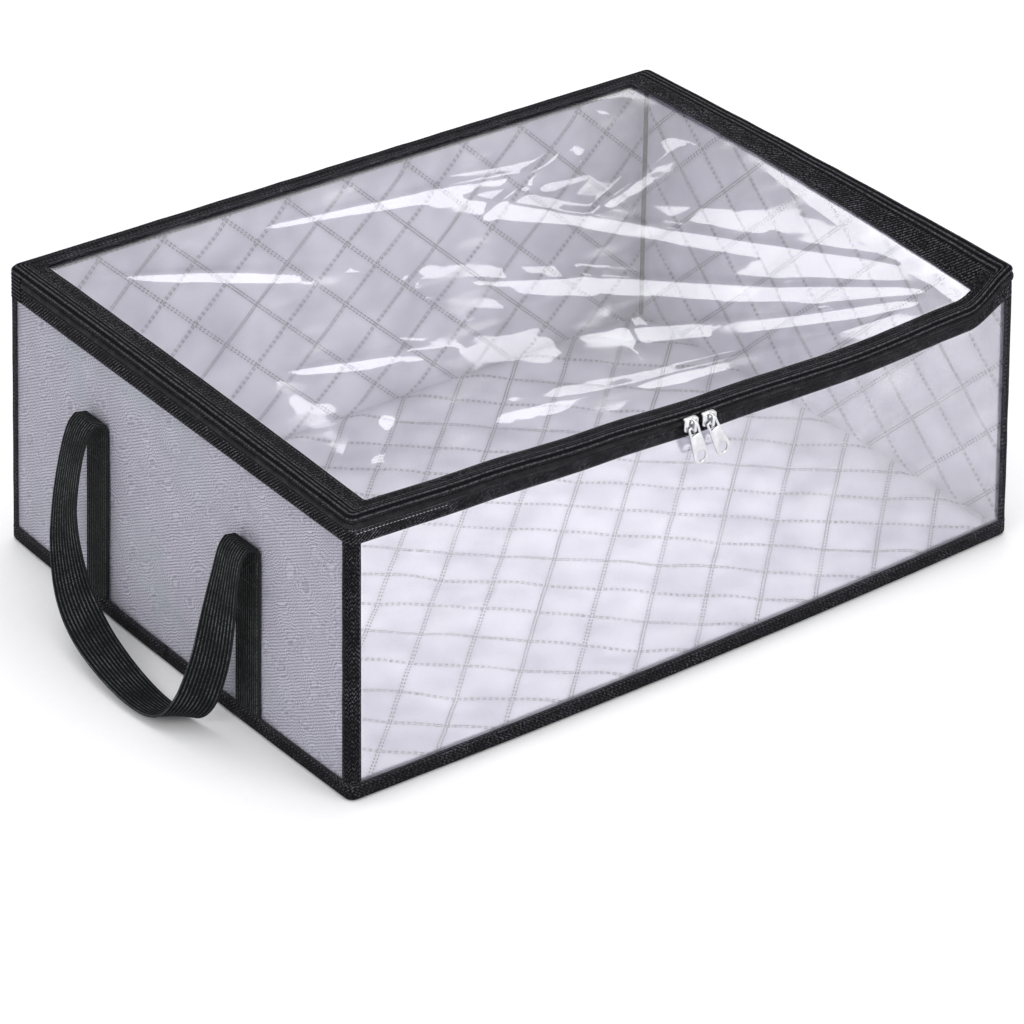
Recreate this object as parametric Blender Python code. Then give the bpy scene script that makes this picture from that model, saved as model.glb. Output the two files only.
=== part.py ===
"""A soft carrier case for baseball caps: a low box of quilted fabric with a clear front, a clear lid and
two webbing handles. A zip runs round the left end, the front and the right end of the lid.

Every piece is first laid out on a straight box, with the front at -Y, the handles at both ends of X and the
floor at Z = 0. The function settled() then gives all of them the leaning walls, the bowed sides and the
sagging front rim of the soft case, so pieces that seat on each other stay together.
"""

import math

import bmesh
import bpy
from mathutils import Matrix, Vector

MM = 0.001

# The case
CASE_LENGTH = 533 * MM
CASE_WIDTH = 385 * MM
CASE_HEIGHT = 200 * MM
CORNER_RADIUS = 6 * MM
CORNER_STEPS = 3
GAP = 0.3 * MM

# How the soft case settles
WALL_LEAN = 6.5 * MM
FRONT_BOW = 5 * MM
BACK_BOW = 1.5 * MM
END_BOW = 3 * MM
RIM_SAG = 26.5 * MM
LID_DIP = 5 * MM
BASE_LIFT_BAND = 30 * MM
X_SEGMENTS = 22
Y_SEGMENTS = 12
Z_SEGMENTS = 5

# Cloth and film
PANEL_THICKNESS = 2.0 * MM
FILM_THICKNESS = 1.0 * MM
BINDING_THICKNESS = 1.7 * MM
FILM_OVERLAP = 6 * MM
FILM_GAP = 0.5 * MM

# The lid's border, seen from above, and the rolled edge of the rim
LEFT_BORDER = 20 * MM
FRONT_BORDER = 13 * MM
RIGHT_BORDER = 27 * MM
BACK_BORDER = 12 * MM
WINDOW_RADIUS = 2.5 * MM
RIM_RADIUS = 3.5 * MM
RIM_STEPS = 3
LID_SKIRT = 3.8 * MM

# The zip and the band below it
ZIP_HEIGHT = 7 * MM
ZIP_TAPE_THICKNESS = 1.2 * MM
COIL_HEIGHT = 4 * MM
COIL_STANDS_PROUD = 1.6 * MM
ZIP_SET_BACK = 0.6 * MM
LOWER_BAND_HEIGHT = 10 * MM
HINGE_TURN = 1 * MM

# Bindings of the lower edges
BASE_BINDING_HEIGHT = 12 * MM
BASE_BINDING_UNDER = 11 * MM
CORNER_FLAP = 2 * MM

# Handles
WEBBING_WIDTH = 25 * MM
WEBBING_THICKNESS = 1.6 * MM
HANDLE_HALF_SPREAD = 85 * MM
HANDLE_SHIFT = -2 * MM
BACK_FOLD_HEIGHT = 139 * MM
FRONT_FOLD_HEIGHT = 131 * MM
HANDLE_REACH = 39 * MM
LEG_STEPS = 5
LOOP_STEPS = 3

# Zip sliders and their pull tabs
SLIDER_PLACES = (("left", -13 * MM), ("right", 1.5 * MM))
TAB_TILTS = {"left": math.radians(18), "right": math.radians(26)}
SLIDER_LENGTH = 11 * MM
SLIDER_HEIGHT = 9 * MM
SLIDER_THICKNESS = 3.2 * MM
SLIDER_GAP = 0.4 * MM
CROWN_WIDTH = 2 * MM
CROWN_BAR = 1.4 * MM
CROWN_CLEAR = 2.4 * MM
TAB_LENGTH = 29 * MM
TAB_TOP_WIDTH = 8.4 * MM
TAB_END_WIDTH = 11 * MM
TAB_THICKNESS = 1.2 * MM
TAB_SEAT = 1.8 * MM
TAB_EYE_WIDTH = 5.2 * MM
TAB_EYE_LENGTH = 5.5 * MM
TAB_HOLE_WIDTH = 6.4 * MM
TAB_HOLE_LENGTH = 8 * MM
TAB_END_WALL = 2 * MM

# Drop of the front rim along its length: share of half the case's length, share of RIM_SAG
RIM_TABLE = (
    (-1.0, 0.38),
    (-0.65, 0.50),
    (-0.3, 0.66),
    (0.05, 0.83),
    (0.5, 0.99),
    (0.85, 0.88),
    (1.0, 0.12),
)

# Route of a handle's loop from the back fold to the front fold.
# Share of HANDLE_REACH, share of HANDLE_HALF_SPREAD, share of that side's fold height, roll in degrees
LOOP_TABLE = (
    (0.22, 1.00, 1.000, 90),
    (0.35, 1.00, 0.960, 90),
    (0.47, 1.00, 0.860, 90),
    (0.57, 1.00, 0.710, 88),
    (0.63, 0.99, 0.560, 82),
    (0.68, 0.93, 0.390, 66),
    (0.78, 0.74, 0.235, 44),
    (0.88, 0.44, 0.140, 22),
    (0.94, 0.08, 0.080, 9),
    (0.95, -0.28, 0.042, 0),
    (0.90, -0.55, 0.034, -9),
    (0.82, -0.73, 0.070, -26),
    (0.74, -0.85, 0.170, -40),
    (0.66, -0.92, 0.310, -52),
    (0.57, -0.95, 0.450, -60),
    (0.48, -0.97, 0.640, -72),
    (0.40, -0.99, 0.820, -85),
    (0.32, -1.00, 0.950, -90),
    (0.20, -1.00, 1.000, -90),
)

HALF_LENGTH = CASE_LENGTH / 2
HALF_WIDTH = CASE_WIDTH / 2
WALL_INSET = BINDING_THICKNESS + GAP
ZIP_TOP = CASE_HEIGHT - LID_SKIRT - GAP
ZIP_BOTTOM = ZIP_TOP - ZIP_HEIGHT
BAND_TOP = ZIP_BOTTOM - GAP
BAND_BOTTOM = BAND_TOP - LOWER_BAND_HEIGHT
WALL_TOP = BAND_TOP - GAP
PANEL_BOTTOM = BINDING_THICKNESS + GAP
WALL_BOTTOM = PANEL_BOTTOM + PANEL_THICKNESS + GAP
FILM_TOP = CASE_HEIGHT - BINDING_THICKNESS - FILM_GAP
HINGE_SPLIT = HALF_WIDTH - BACK_BORDER - WINDOW_RADIUS - HINGE_TURN


def clear_scene():
    for obj in list(bpy.data.objects):
        bpy.data.objects.remove(obj, do_unlink=True)


def make_material(name, color, roughness, metallic=0.0, alpha=1.0):
    material = bpy.data.materials.new(name)
    material.use_nodes = True
    shader = material.node_tree.nodes["Principled BSDF"]
    shader.inputs["Base Color"].default_value = (*color, 1.0)
    shader.inputs["Roughness"].default_value = roughness
    shader.inputs["Metallic"].default_value = metallic
    shader.inputs["Alpha"].default_value = alpha
    return material


def add_object(name, points, faces, material):
    mesh = bpy.data.meshes.new(name)
    mesh.from_pydata([tuple(point) for point in points], [], faces)
    solid = bmesh.new()
    solid.from_mesh(mesh)
    bmesh.ops.recalc_face_normals(solid, faces=solid.faces)
    solid.to_mesh(mesh)
    solid.free()
    mesh.materials.append(material)
    mesh.shade_smooth()
    mesh.set_sharp_from_angle(angle=math.radians(35))
    obj = bpy.data.objects.new(name, mesh)
    bpy.context.scene.collection.objects.link(obj)
    return obj


def smooth_step(share):
    share = min(1.0, max(0.0, share))
    return share * share * (3 - 2 * share)


def table_value(table, share):
    """The value of a two-column table at a share, eased between its rows."""
    if share <= table[0][0]:
        return table[0][1]
    for (low, first), (high, second) in zip(table, table[1:]):
        if share <= high:
            return first + (second - first) * smooth_step((share - low) / (high - low))
    return table[-1][1]


def rim_drop(u, v):
    """How far the rim hangs below its straight height, at shares of half the length and half the width."""
    towards_front = max(0.0, min(1.0, (1 - v) / 2))
    return RIM_SAG * table_value(RIM_TABLE, u) * towards_front**1.9


def settled(point):
    """A point of the straight box moved to where the soft case has it."""
    x, y, z = point
    height = z / CASE_HEIGHT
    u = x / HALF_LENGTH
    v = y / HALF_WIDTH
    across = max(0.0, 1 - u * u)
    along = max(0.0, 1 - v * v)
    low = 1 - 0.55 * height
    y_bow = across * low * (BACK_BOW * max(0.0, v) ** 3 - FRONT_BOW * max(0.0, -v) ** 3)
    x_bow = along * low * END_BOW * math.copysign(min(1.0, abs(u)) ** 3, u)
    return Vector(
        (
            x * (1 - height * WALL_LEAN / HALF_LENGTH) + x_bow,
            y * (1 - height * WALL_LEAN / HALF_WIDTH) + y_bow,
            z - rim_drop(u, v) * max(0.0, height) ** 3,
        )
    )


def stations(low, high, half, segments):
    """The shared grid positions between low and high, with both ends, so neighbours bend at the same places."""
    step = 2 * (half - CORNER_RADIUS) / segments
    grid = [-(half - CORNER_RADIUS) + step * index for index in range(segments + 1)]
    return [low, *[value for value in grid if low + step / 4 < value < high - step / 4], high]


def two_skins(name, outer, inner, material):
    """A sheet between two grids of points, closed along its four edges."""
    rows = len(outer)
    columns = len(outer[0])
    points = [settled(p) for grid in (outer, inner) for row in grid for p in row]
    offset = rows * columns

    def index(skin, row, column):
        return skin * offset + row * columns + column

    faces = []
    for row in range(rows - 1):
        for column in range(columns - 1):
            for skin in (0, 1):
                faces.append(
                    (
                        index(skin, row, column),
                        index(skin, row + 1, column),
                        index(skin, row + 1, column + 1),
                        index(skin, row, column + 1),
                    )
                )
    edge = [(0, column) for column in range(columns)]
    edge += [(row, columns - 1) for row in range(1, rows)]
    edge += [(rows - 1, column) for column in range(columns - 2, -1, -1)]
    edge += [(row, 0) for row in range(rows - 2, 0, -1)]
    for here, there in zip(edge, edge[1:] + edge[:1]):
        faces.append((index(0, *here), index(0, *there), index(1, *there), index(1, *here)))
    return add_object(name, points, faces, material)


def swept(name, sections, material, closed=False):
    """A strip through matching sections, each a loop of points, capped at its ends unless it closes on itself."""
    count = len(sections[0])
    points = [point for section in sections for point in section]
    faces = []
    joins = len(sections) if closed else len(sections) - 1
    for number in range(joins):
        here = number * count
        there = (number + 1) % len(sections) * count
        for corner in range(count):
            after = (corner + 1) % count
            faces.append((here + corner, here + after, there + after, there + corner))
    if not closed:
        faces.append(tuple(range(count)))
        faces.append(tuple((len(sections) - 1) * count + corner for corner in range(count)))
    return add_object(name, points, faces, material)


class Edge:
    """One station of the case's outline: a point on the outer face, the outward direction and its window point."""

    def __init__(self, place, outward, window):
        self.place = place
        self.outward = outward
        self.window = window

    def point(self, out, z):
        return settled((self.place[0] + self.outward[0] * out, self.place[1] + self.outward[1] * out, z))

    def window_point(self, out, z):
        return settled((self.window[0] + self.outward[0] * out, self.window[1] + self.outward[1] * out, z))


def window_sides():
    """The lid window's left, front, right and back edges."""
    return (
        -HALF_LENGTH + LEFT_BORDER,
        -HALF_WIDTH + FRONT_BORDER,
        HALF_LENGTH - RIGHT_BORDER,
        HALF_WIDTH - BACK_BORDER,
    )


def corner_edges(x_sign, y_sign, reverse):
    """The stations round one corner, in order against the clock from above unless reversed."""
    left, front, right, back = window_sides()
    window_x = left if x_sign < 0 else right
    window_y = front if y_sign < 0 else back
    centre = (x_sign * (HALF_LENGTH - CORNER_RADIUS), y_sign * (HALF_WIDTH - CORNER_RADIUS))
    window_centre = (window_x - x_sign * WINDOW_RADIUS, window_y - y_sign * WINDOW_RADIUS)
    found = []
    for step in range(CORNER_STEPS + 1):
        angle = math.pi / 2 * step / CORNER_STEPS
        outward = (x_sign * math.cos(angle), y_sign * math.sin(angle))
        place = [centre[axis] + CORNER_RADIUS * outward[axis] for axis in (0, 1)]
        window = [window_centre[axis] + WINDOW_RADIUS * outward[axis] for axis in (0, 1)]
        found.append(Edge(place, outward, window))
    return found[::-1] if reverse else found


def end_edges(x_sign, y_from, y_to):
    """The stations along the left or right end between two places, without the corners."""
    window_x = window_sides()[0 if x_sign < 0 else 2]
    low, high = sorted((y_from, y_to))
    places = stations(low, high, HALF_WIDTH, Y_SEGMENTS)
    if y_from > y_to:
        places = places[::-1]
    front = window_sides()[1] + WINDOW_RADIUS
    back = window_sides()[3] - WINDOW_RADIUS
    return [Edge((x_sign * HALF_LENGTH, y), (x_sign, 0), (window_x, min(back, max(front, y)))) for y in places]


def long_edges(y_sign, x_from, x_to):
    """The stations along the front or back between two places, without the corners."""
    window_y = window_sides()[1 if y_sign < 0 else 3]
    low, high = sorted((x_from, x_to))
    places = stations(low, high, HALF_LENGTH, X_SEGMENTS)
    if x_from > x_to:
        places = places[::-1]
    left = window_sides()[0] + WINDOW_RADIUS
    right = window_sides()[2] - WINDOW_RADIUS
    return [Edge((x, y_sign * HALF_WIDTH), (0, y_sign), (min(right, max(left, x)), window_y)) for x in places]


def joined_edges(*runs):
    """The runs in order, with the stations that two of them share kept once."""
    found = []
    for run in runs:
        for edge in run:
            same = found and math.dist(found[-1].place, edge.place) < MM / 100
            if not same:
                found.append(edge)
    return found


def zip_edges():
    """From the left end's back, round the front, to the right end's back."""
    x_straight = HALF_LENGTH - CORNER_RADIUS
    y_straight = HALF_WIDTH - CORNER_RADIUS
    split = HINGE_SPLIT - GAP / 2
    return joined_edges(
        end_edges(-1, split, -y_straight),
        corner_edges(-1, -1, False),
        long_edges(-1, -x_straight, x_straight),
        corner_edges(1, -1, True),
        end_edges(1, -y_straight, split),
    )


def hinge_edges():
    """From the left end's back, round the back, to the right end's back."""
    x_straight = HALF_LENGTH - CORNER_RADIUS
    y_straight = HALF_WIDTH - CORNER_RADIUS
    split = HINGE_SPLIT + GAP / 2
    return joined_edges(
        end_edges(-1, split, y_straight),
        corner_edges(-1, 1, False),
        long_edges(1, -x_straight, x_straight),
        corner_edges(1, 1, True),
        end_edges(1, y_straight, split),
    )


def ring_edges():
    """All the way round, starting at the back-left corner."""
    x_straight = HALF_LENGTH - CORNER_RADIUS
    y_straight = HALF_WIDTH - CORNER_RADIUS
    ring = joined_edges(
        end_edges(-1, y_straight, -y_straight),
        corner_edges(-1, -1, False),
        long_edges(-1, -x_straight, x_straight),
        corner_edges(1, -1, True),
        end_edges(1, -y_straight, y_straight),
        corner_edges(1, 1, False),
        long_edges(1, x_straight, -x_straight),
        corner_edges(-1, 1, True),
    )
    return ring[:-1]


def border_section(edge, skirt):
    """A flat flange from the window's edge, rolled over the rim and turned down by the skirt."""
    top = CASE_HEIGHT
    outer = [edge.window_point(out, top) for out in (0, FILM_OVERLAP)]
    inner = [edge.window_point(out, top - BINDING_THICKNESS) for out in (0, FILM_OVERLAP)]
    for step in range(RIM_STEPS + 1):
        angle = math.pi / 2 * step / RIM_STEPS
        for skin, radius in ((outer, RIM_RADIUS), (inner, RIM_RADIUS - BINDING_THICKNESS)):
            out = -RIM_RADIUS + radius * math.sin(angle)
            skin.append(edge.point(out, top - RIM_RADIUS + radius * math.cos(angle)))
    outer.append(edge.point(0, top - skirt))
    inner.append(edge.point(-BINDING_THICKNESS, top - skirt))
    return outer + inner[::-1]


def zip_section(edge):
    """Two tapes with the closed coil standing proud between them."""
    middle = (ZIP_TOP + ZIP_BOTTOM) / 2
    half = COIL_HEIGHT / 2
    face = -ZIP_SET_BACK
    proud = face + COIL_STANDS_PROUD
    return [
        edge.point(face, ZIP_TOP),
        edge.point(face, middle + half),
        edge.point(proud, middle + half / 2),
        edge.point(proud, middle - half / 2),
        edge.point(face, middle - half),
        edge.point(face, ZIP_BOTTOM),
        edge.point(face - ZIP_TAPE_THICKNESS, ZIP_BOTTOM),
        edge.point(face - ZIP_TAPE_THICKNESS, ZIP_TOP),
    ]


def band_section(edge, top, bottom):
    return [
        edge.point(0, top),
        edge.point(0, bottom),
        edge.point(-BINDING_THICKNESS, bottom),
        edge.point(-BINDING_THICKNESS, top),
    ]


def base_section(edge):
    """An angle that wraps the lower edge: up the wall and under the base."""
    under = -BASE_BINDING_UNDER
    return [
        edge.point(0, BASE_BINDING_HEIGHT),
        edge.point(0, BINDING_THICKNESS),
        edge.point(-BINDING_THICKNESS, 0),
        edge.point(under, 0),
        edge.point(under, BINDING_THICKNESS),
        edge.point(-BINDING_THICKNESS, BINDING_THICKNESS),
        edge.point(-BINDING_THICKNESS, BASE_BINDING_HEIGHT),
    ]


def build_lid(cloth, coil, film):
    """The lid's border, the zip, the band below it, the hinge binding and the clear window."""
    swept("lid_border", [border_section(edge, LID_SKIRT) for edge in zip_edges()], cloth)
    swept("zip_chain", [zip_section(edge) for edge in zip_edges()], coil)
    swept("zip_lower_band", [band_section(edge, BAND_TOP, BAND_BOTTOM) for edge in zip_edges()], cloth)
    skirt = CASE_HEIGHT - BAND_BOTTOM
    swept("hinge_binding", [border_section(edge, skirt) for edge in hinge_edges()], cloth)
    left, front, right, back = window_sides()
    xs = stations(left - FILM_OVERLAP, right + FILM_OVERLAP, HALF_LENGTH, X_SEGMENTS)
    ys = stations(front - FILM_OVERLAP, back + FILM_OVERLAP, HALF_WIDTH, Y_SEGMENTS)

    def dip(x, y):
        u = (2 * x - left - right) / (right - left)
        v = (2 * y - front - back) / (back - front)
        return LID_DIP * max(0.0, 1 - u * u) * max(0.0, 1 - v * v)

    outer = [[(x, y, FILM_TOP - dip(x, y)) for y in ys] for x in xs]
    inner = [[(x, y, z - FILM_THICKNESS) for x, y, z in row] for row in outer]
    two_skins("lid_window", outer, inner, film)


def wall_heights():
    step = (WALL_TOP - WALL_BOTTOM) / Z_SEGMENTS
    return [WALL_BOTTOM + step * index for index in range(Z_SEGMENTS + 1)]


def build_walls(end_cloth, back_cloth, film):
    """Two fabric ends, a fabric back and the clear front, behind their bindings."""
    zs = wall_heights()
    y_end = HALF_WIDTH - CORNER_RADIUS - GAP
    x_end = HALF_LENGTH - CORNER_RADIUS - GAP
    ys = stations(-y_end, y_end, HALF_WIDTH, Y_SEGMENTS)
    xs = stations(-x_end, x_end, HALF_LENGTH, X_SEGMENTS)
    for name, sign in (("left_end_panel", -1), ("right_end_panel", 1)):
        x_out = sign * (HALF_LENGTH - WALL_INSET)
        x_in = x_out - sign * PANEL_THICKNESS
        outer = [[(x_out, y, z) for z in zs] for y in ys]
        inner = [[(x_in, y, z) for z in zs] for y in ys]
        two_skins(name, outer, inner, end_cloth)
    for name, sign, thickness, material in (
        ("back_panel", 1, PANEL_THICKNESS, back_cloth),
        ("front_window", -1, FILM_THICKNESS, film),
    ):
        y_out = sign * (HALF_WIDTH - WALL_INSET)
        y_in = y_out - sign * thickness
        outer = [[(x, y_out, z) for z in zs] for x in xs]
        inner = [[(x, y_in, z) for z in zs] for x in xs]
        two_skins(name, outer, inner, material)


def build_base(cloth, panel_cloth):
    """The base panel, which sinks to the floor inside its binding, and the binding round the lower edge."""
    swept("base_binding", [base_section(edge) for edge in ring_edges()], cloth, closed=True)
    x_end = HALF_LENGTH - WALL_INSET
    y_end = HALF_WIDTH - WALL_INSET
    flat_from = BASE_BINDING_UNDER + GAP
    x_seat = HALF_LENGTH - flat_from
    y_seat = HALF_WIDTH - flat_from
    xs = [-x_end, *stations(-x_seat, x_seat, HALF_LENGTH, X_SEGMENTS), x_end]
    ys = [-y_end, *stations(-y_seat, y_seat, HALF_WIDTH, Y_SEGMENTS), y_end]

    def lift(x, y):
        inside = min(x_seat - abs(x), y_seat - abs(y))
        return PANEL_BOTTOM * (1 - smooth_step(inside / BASE_LIFT_BAND))

    lower = [[(x, y, lift(x, y)) for y in ys] for x in xs]
    upper = [[(x, y, z + PANEL_THICKNESS) for x, y, z in row] for row in lower]
    # The corners of the sheet are cut back to the rounded corner of the binding
    limit = CORNER_RADIUS * 0.45
    for grid in (lower, upper):
        for i in (0, -1):
            for j in (0, -1):
                x, y, z = grid[i][j]
                grid[i][j] = (x - math.copysign(limit, x), y - math.copysign(limit, y), z)
    two_skins("base_panel", upper, lower, panel_cloth)


def build_corners(cloth):
    """Four upright bindings, each an angle of tape round a corner of the walls."""
    low = BASE_BINDING_HEIGHT + GAP
    high = BAND_BOTTOM - GAP
    levels = [low + (high - low) * index / Z_SEGMENTS for index in range(Z_SEGMENTS + 1)]
    for name, x_sign, y_sign in (
        ("corner_binding_front_left", -1, -1),
        ("corner_binding_front_right", 1, -1),
        ("corner_binding_back_left", -1, 1),
        ("corner_binding_back_right", 1, 1),
    ):
        corner = corner_edges(x_sign, y_sign, False)
        y_flap = y_sign * (HALF_WIDTH - CORNER_RADIUS - CORNER_FLAP)
        x_flap = x_sign * (HALF_LENGTH - CORNER_RADIUS - CORNER_FLAP)
        first = Edge((x_sign * HALF_LENGTH, y_flap), (x_sign, 0), (0, 0))
        last = Edge((x_flap, y_sign * HALF_WIDTH), (0, y_sign), (0, 0))
        run = [first, *corner, last]
        sections = []
        for z in levels:
            outer = [edge.point(0, z) for edge in run]
            inner = [edge.point(-BINDING_THICKNESS, z) for edge in run]
            sections.append(outer + inner[::-1])
        swept(name, sections, cloth)


def smooth_rows(table, steps):
    """The rows of a table with further rows between them, on a smooth curve through all."""
    found = []
    last = len(table) - 1
    for number in range(last):
        rows = [table[max(0, min(last, number + shift))] for shift in (-1, 0, 1, 2)]
        for step in range(steps):
            t = step / steps
            row = []
            for before, first, second, after in zip(*rows):
                bend = 2 * before - 5 * first + 4 * second - after
                twist = 3 * first - before - 3 * second + after
                row.append(first + 0.5 * t * (second - before + t * (bend + t * twist)))
            found.append(tuple(row))
    return [*found, table[last]]


def handle_route():
    """(out, along, up, roll) of the webbing's middle line, from the foot of the back leg to the front one."""
    leg_out = -WALL_INSET + GAP + WEBBING_THICKNESS / 2
    fold_out = leg_out + WEBBING_THICKNESS
    foot = BASE_BINDING_HEIGHT + GAP

    def leg(sign, fold):
        place = HANDLE_SHIFT + sign * HANDLE_HALF_SPREAD
        step = (fold * 0.955 - foot) / LEG_STEPS
        points = [(leg_out, place, foot + step * number, sign * 90) for number in range(LEG_STEPS + 1)]
        return [*points, (fold_out, place, fold * 0.99, sign * 90)]

    loop = []
    for out, along, up, roll in smooth_rows(LOOP_TABLE, LOOP_STEPS):
        fold = FRONT_FOLD_HEIGHT + (BACK_FOLD_HEIGHT - FRONT_FOLD_HEIGHT) * smooth_step((along + 1) / 2)
        place = HANDLE_SHIFT + along * HANDLE_HALF_SPREAD
        loop.append((out * HANDLE_REACH, place, up * fold, max(-90, min(90, roll))))
    return leg(1, BACK_FOLD_HEIGHT) + loop + leg(-1, FRONT_FOLD_HEIGHT)[::-1]


def build_handle(name, x_sign, webbing):
    """One length of webbing: a leg sewn up the end panel, a hanging loop and the other leg."""
    route = handle_route()
    middles = [Vector((-(HALF_LENGTH + out), y, z)) for out, y, z, roll in route]
    sections = []
    for number, (out, y, z, roll) in enumerate(route):
        before = middles[max(0, number - 1)]
        after = middles[min(len(middles) - 1, number + 1)]
        tangent = (after - before).normalized()
        if abs(roll) == 90:
            side = Vector((0, 1, 0))
            side = (side - tangent * side.dot(tangent)).normalized()
        else:
            outward = Vector((-1, 0, 0))
            outward = (outward - tangent * outward.dot(tangent)).normalized()
            turned = tangent.cross(outward)
            angle = math.radians(roll)
            side = outward * math.cos(angle) + turned * math.sin(angle)
        normal = side.cross(tangent)
        half_width = side * WEBBING_WIDTH / 2
        half_thick = normal * WEBBING_THICKNESS / 2
        middle = middles[number]
        corners = (
            middle - half_width - half_thick,
            middle - half_thick,
            middle + half_width - half_thick,
            middle + half_width + half_thick,
            middle + half_thick,
            middle - half_width + half_thick,
        )
        sections.append([settled((-x_sign * p.x, p.y, p.z)) for p in corners])
    swept(name, sections, webbing)


def extruded(name, outline, depth, material):
    """A flat outline in X and Z, given depth along Y about its own plane."""
    count = len(outline)
    points = [(x, -depth / 2, z) for x, z in outline] + [(x, depth / 2, z) for x, z in outline]
    faces = [tuple(range(count)), tuple(range(count, 2 * count))]
    for index in range(count):
        after = (index + 1) % count
        faces.append((index, after, count + after, count + index))
    return add_object(name, points, faces, material)


def oval(half_width, half_length, centre_z, sides=16):
    turn = 2 * math.pi / sides
    return [
        (half_width * math.cos(turn * n), centre_z + half_length * math.sin(turn * n)) for n in range(sides)
    ]


def apply_boolean(target, other, operation):
    """Joins or cuts with another object, which is then removed."""
    modifier = target.modifiers.new(operation.lower(), "BOOLEAN")
    modifier.operation = operation
    modifier.solver = "EXACT"
    modifier.object = other
    graph = bpy.context.evaluated_depsgraph_get()
    mesh = bpy.data.meshes.new_from_object(target.evaluated_get(graph))
    target.modifiers.remove(modifier)
    target.data = mesh
    bpy.data.objects.remove(other, do_unlink=True)


def chamfered_outline(half_width, half_height, cut):
    return [
        (-half_width + cut, -half_height),
        (half_width - cut, -half_height),
        (half_width, -half_height + cut),
        (half_width, half_height - cut),
        (half_width - cut, half_height),
        (-half_width + cut, half_height),
        (-half_width, half_height - cut),
        (-half_width, -half_height + cut),
    ]


def build_slider(name, place, metal):
    """The slider's body with the crown, a bent bar that stands off it and holds the pull tab."""
    half_length = SLIDER_LENGTH / 2
    half_height = SLIDER_HEIGHT / 2
    body = extruded(name, chamfered_outline(half_length, half_height, 2.2 * MM), SLIDER_THICKNESS, metal)
    inner_z = half_height - CROWN_BAR - 0.2 * MM
    outer_z = inner_z + CROWN_BAR
    foot = SLIDER_THICKNESS / 2 - 0.6 * MM
    under = SLIDER_THICKNESS / 2 + CROWN_CLEAR
    over = under + CROWN_BAR
    cut = 0.8 * MM
    # The crown's outline as (height along Z, distance out of the face)
    arch = [
        (-outer_z, foot),
        (-outer_z, over - 2 * cut),
        (-outer_z + 2 * cut, over),
        (outer_z - 2 * cut, over),
        (outer_z, over - 2 * cut),
        (outer_z, foot),
        (inner_z, foot),
        (inner_z, under - cut / 2),
        (inner_z - cut / 2, under),
        (-inner_z + cut / 2, under),
        (-inner_z, under - cut / 2),
        (-inner_z, foot),
    ]
    crown = extruded(name + "_crown", arch, CROWN_WIDTH, metal)
    # Turn the outline so that its distance runs out along -Y, and its width along X
    crown.data.transform(Matrix(((0, 1, 0, 0), (0, 0, -1, 0), (1, 0, 0, 0), (0, 0, 0, 1))))
    apply_boolean(body, crown, "UNION")
    body.location = place
    return body


def build_tab(name, pivot, tilt, metal):
    """A flat pull tab with an eye round the crown's lower foot and an oval hole at its free end."""
    top_half = TAB_TOP_WIDTH / 2
    end_half = TAB_END_WIDTH / 2
    bar = CROWN_BAR / 2
    end_centre = -TAB_LENGTH + end_half
    outline = [(-top_half + bar, bar), (top_half - bar, bar), (top_half, 0), (top_half, -TAB_EYE_LENGTH)]
    steps = 8
    for step in range(steps + 1):
        angle = -math.pi * step / steps
        outline.append((end_half * math.cos(angle), end_centre + end_half * math.sin(angle)))
    outline += [(-top_half, -TAB_EYE_LENGTH), (-top_half, 0)]
    tab = extruded(name, outline, TAB_THICKNESS, metal)
    eye_middle = -bar - TAB_EYE_LENGTH / 2
    eye_half = TAB_EYE_LENGTH / 2
    eye_outline = [
        (x, z + eye_middle) for x, z in chamfered_outline(TAB_EYE_WIDTH / 2, eye_half, 0.8 * MM)
    ]
    eye = extruded(name + "_eye", eye_outline, TAB_THICKNESS * 3, metal)
    apply_boolean(tab, eye, "DIFFERENCE")
    hole_middle = -TAB_LENGTH + TAB_END_WALL + TAB_HOLE_LENGTH / 2
    hole_outline = oval(TAB_HOLE_WIDTH / 2, TAB_HOLE_LENGTH / 2, hole_middle)
    hole = extruded(name + "_hole", hole_outline, TAB_THICKNESS * 3, metal)
    apply_boolean(tab, hole, "DIFFERENCE")
    tab.rotation_euler = (0, -tilt, 0)
    tab.location = pivot
    return tab


def build_sliders(metal):
    """Two sliders nose to nose at the middle of the front, each with its tab on a hinge along the eye's bar."""
    middle = (ZIP_TOP + ZIP_BOTTOM) / 2
    coil_face = COIL_STANDS_PROUD - ZIP_SET_BACK
    for side, x in SLIDER_PLACES:
        face = settled((x, -HALF_WIDTH - coil_face, middle))
        place = face + Vector((0, -SLIDER_GAP - SLIDER_THICKNESS / 2, 0))
        build_slider("slider_" + side, place, metal)
        inner_z = SLIDER_HEIGHT / 2 - CROWN_BAR - 0.2 * MM
        drop = -inner_z + TAB_SEAT
        out = SLIDER_THICKNESS / 2 + CROWN_CLEAR / 2
        build_tab("pull_tab_" + side, place + Vector((0, -out, drop)), TAB_TILTS[side], metal)


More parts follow.
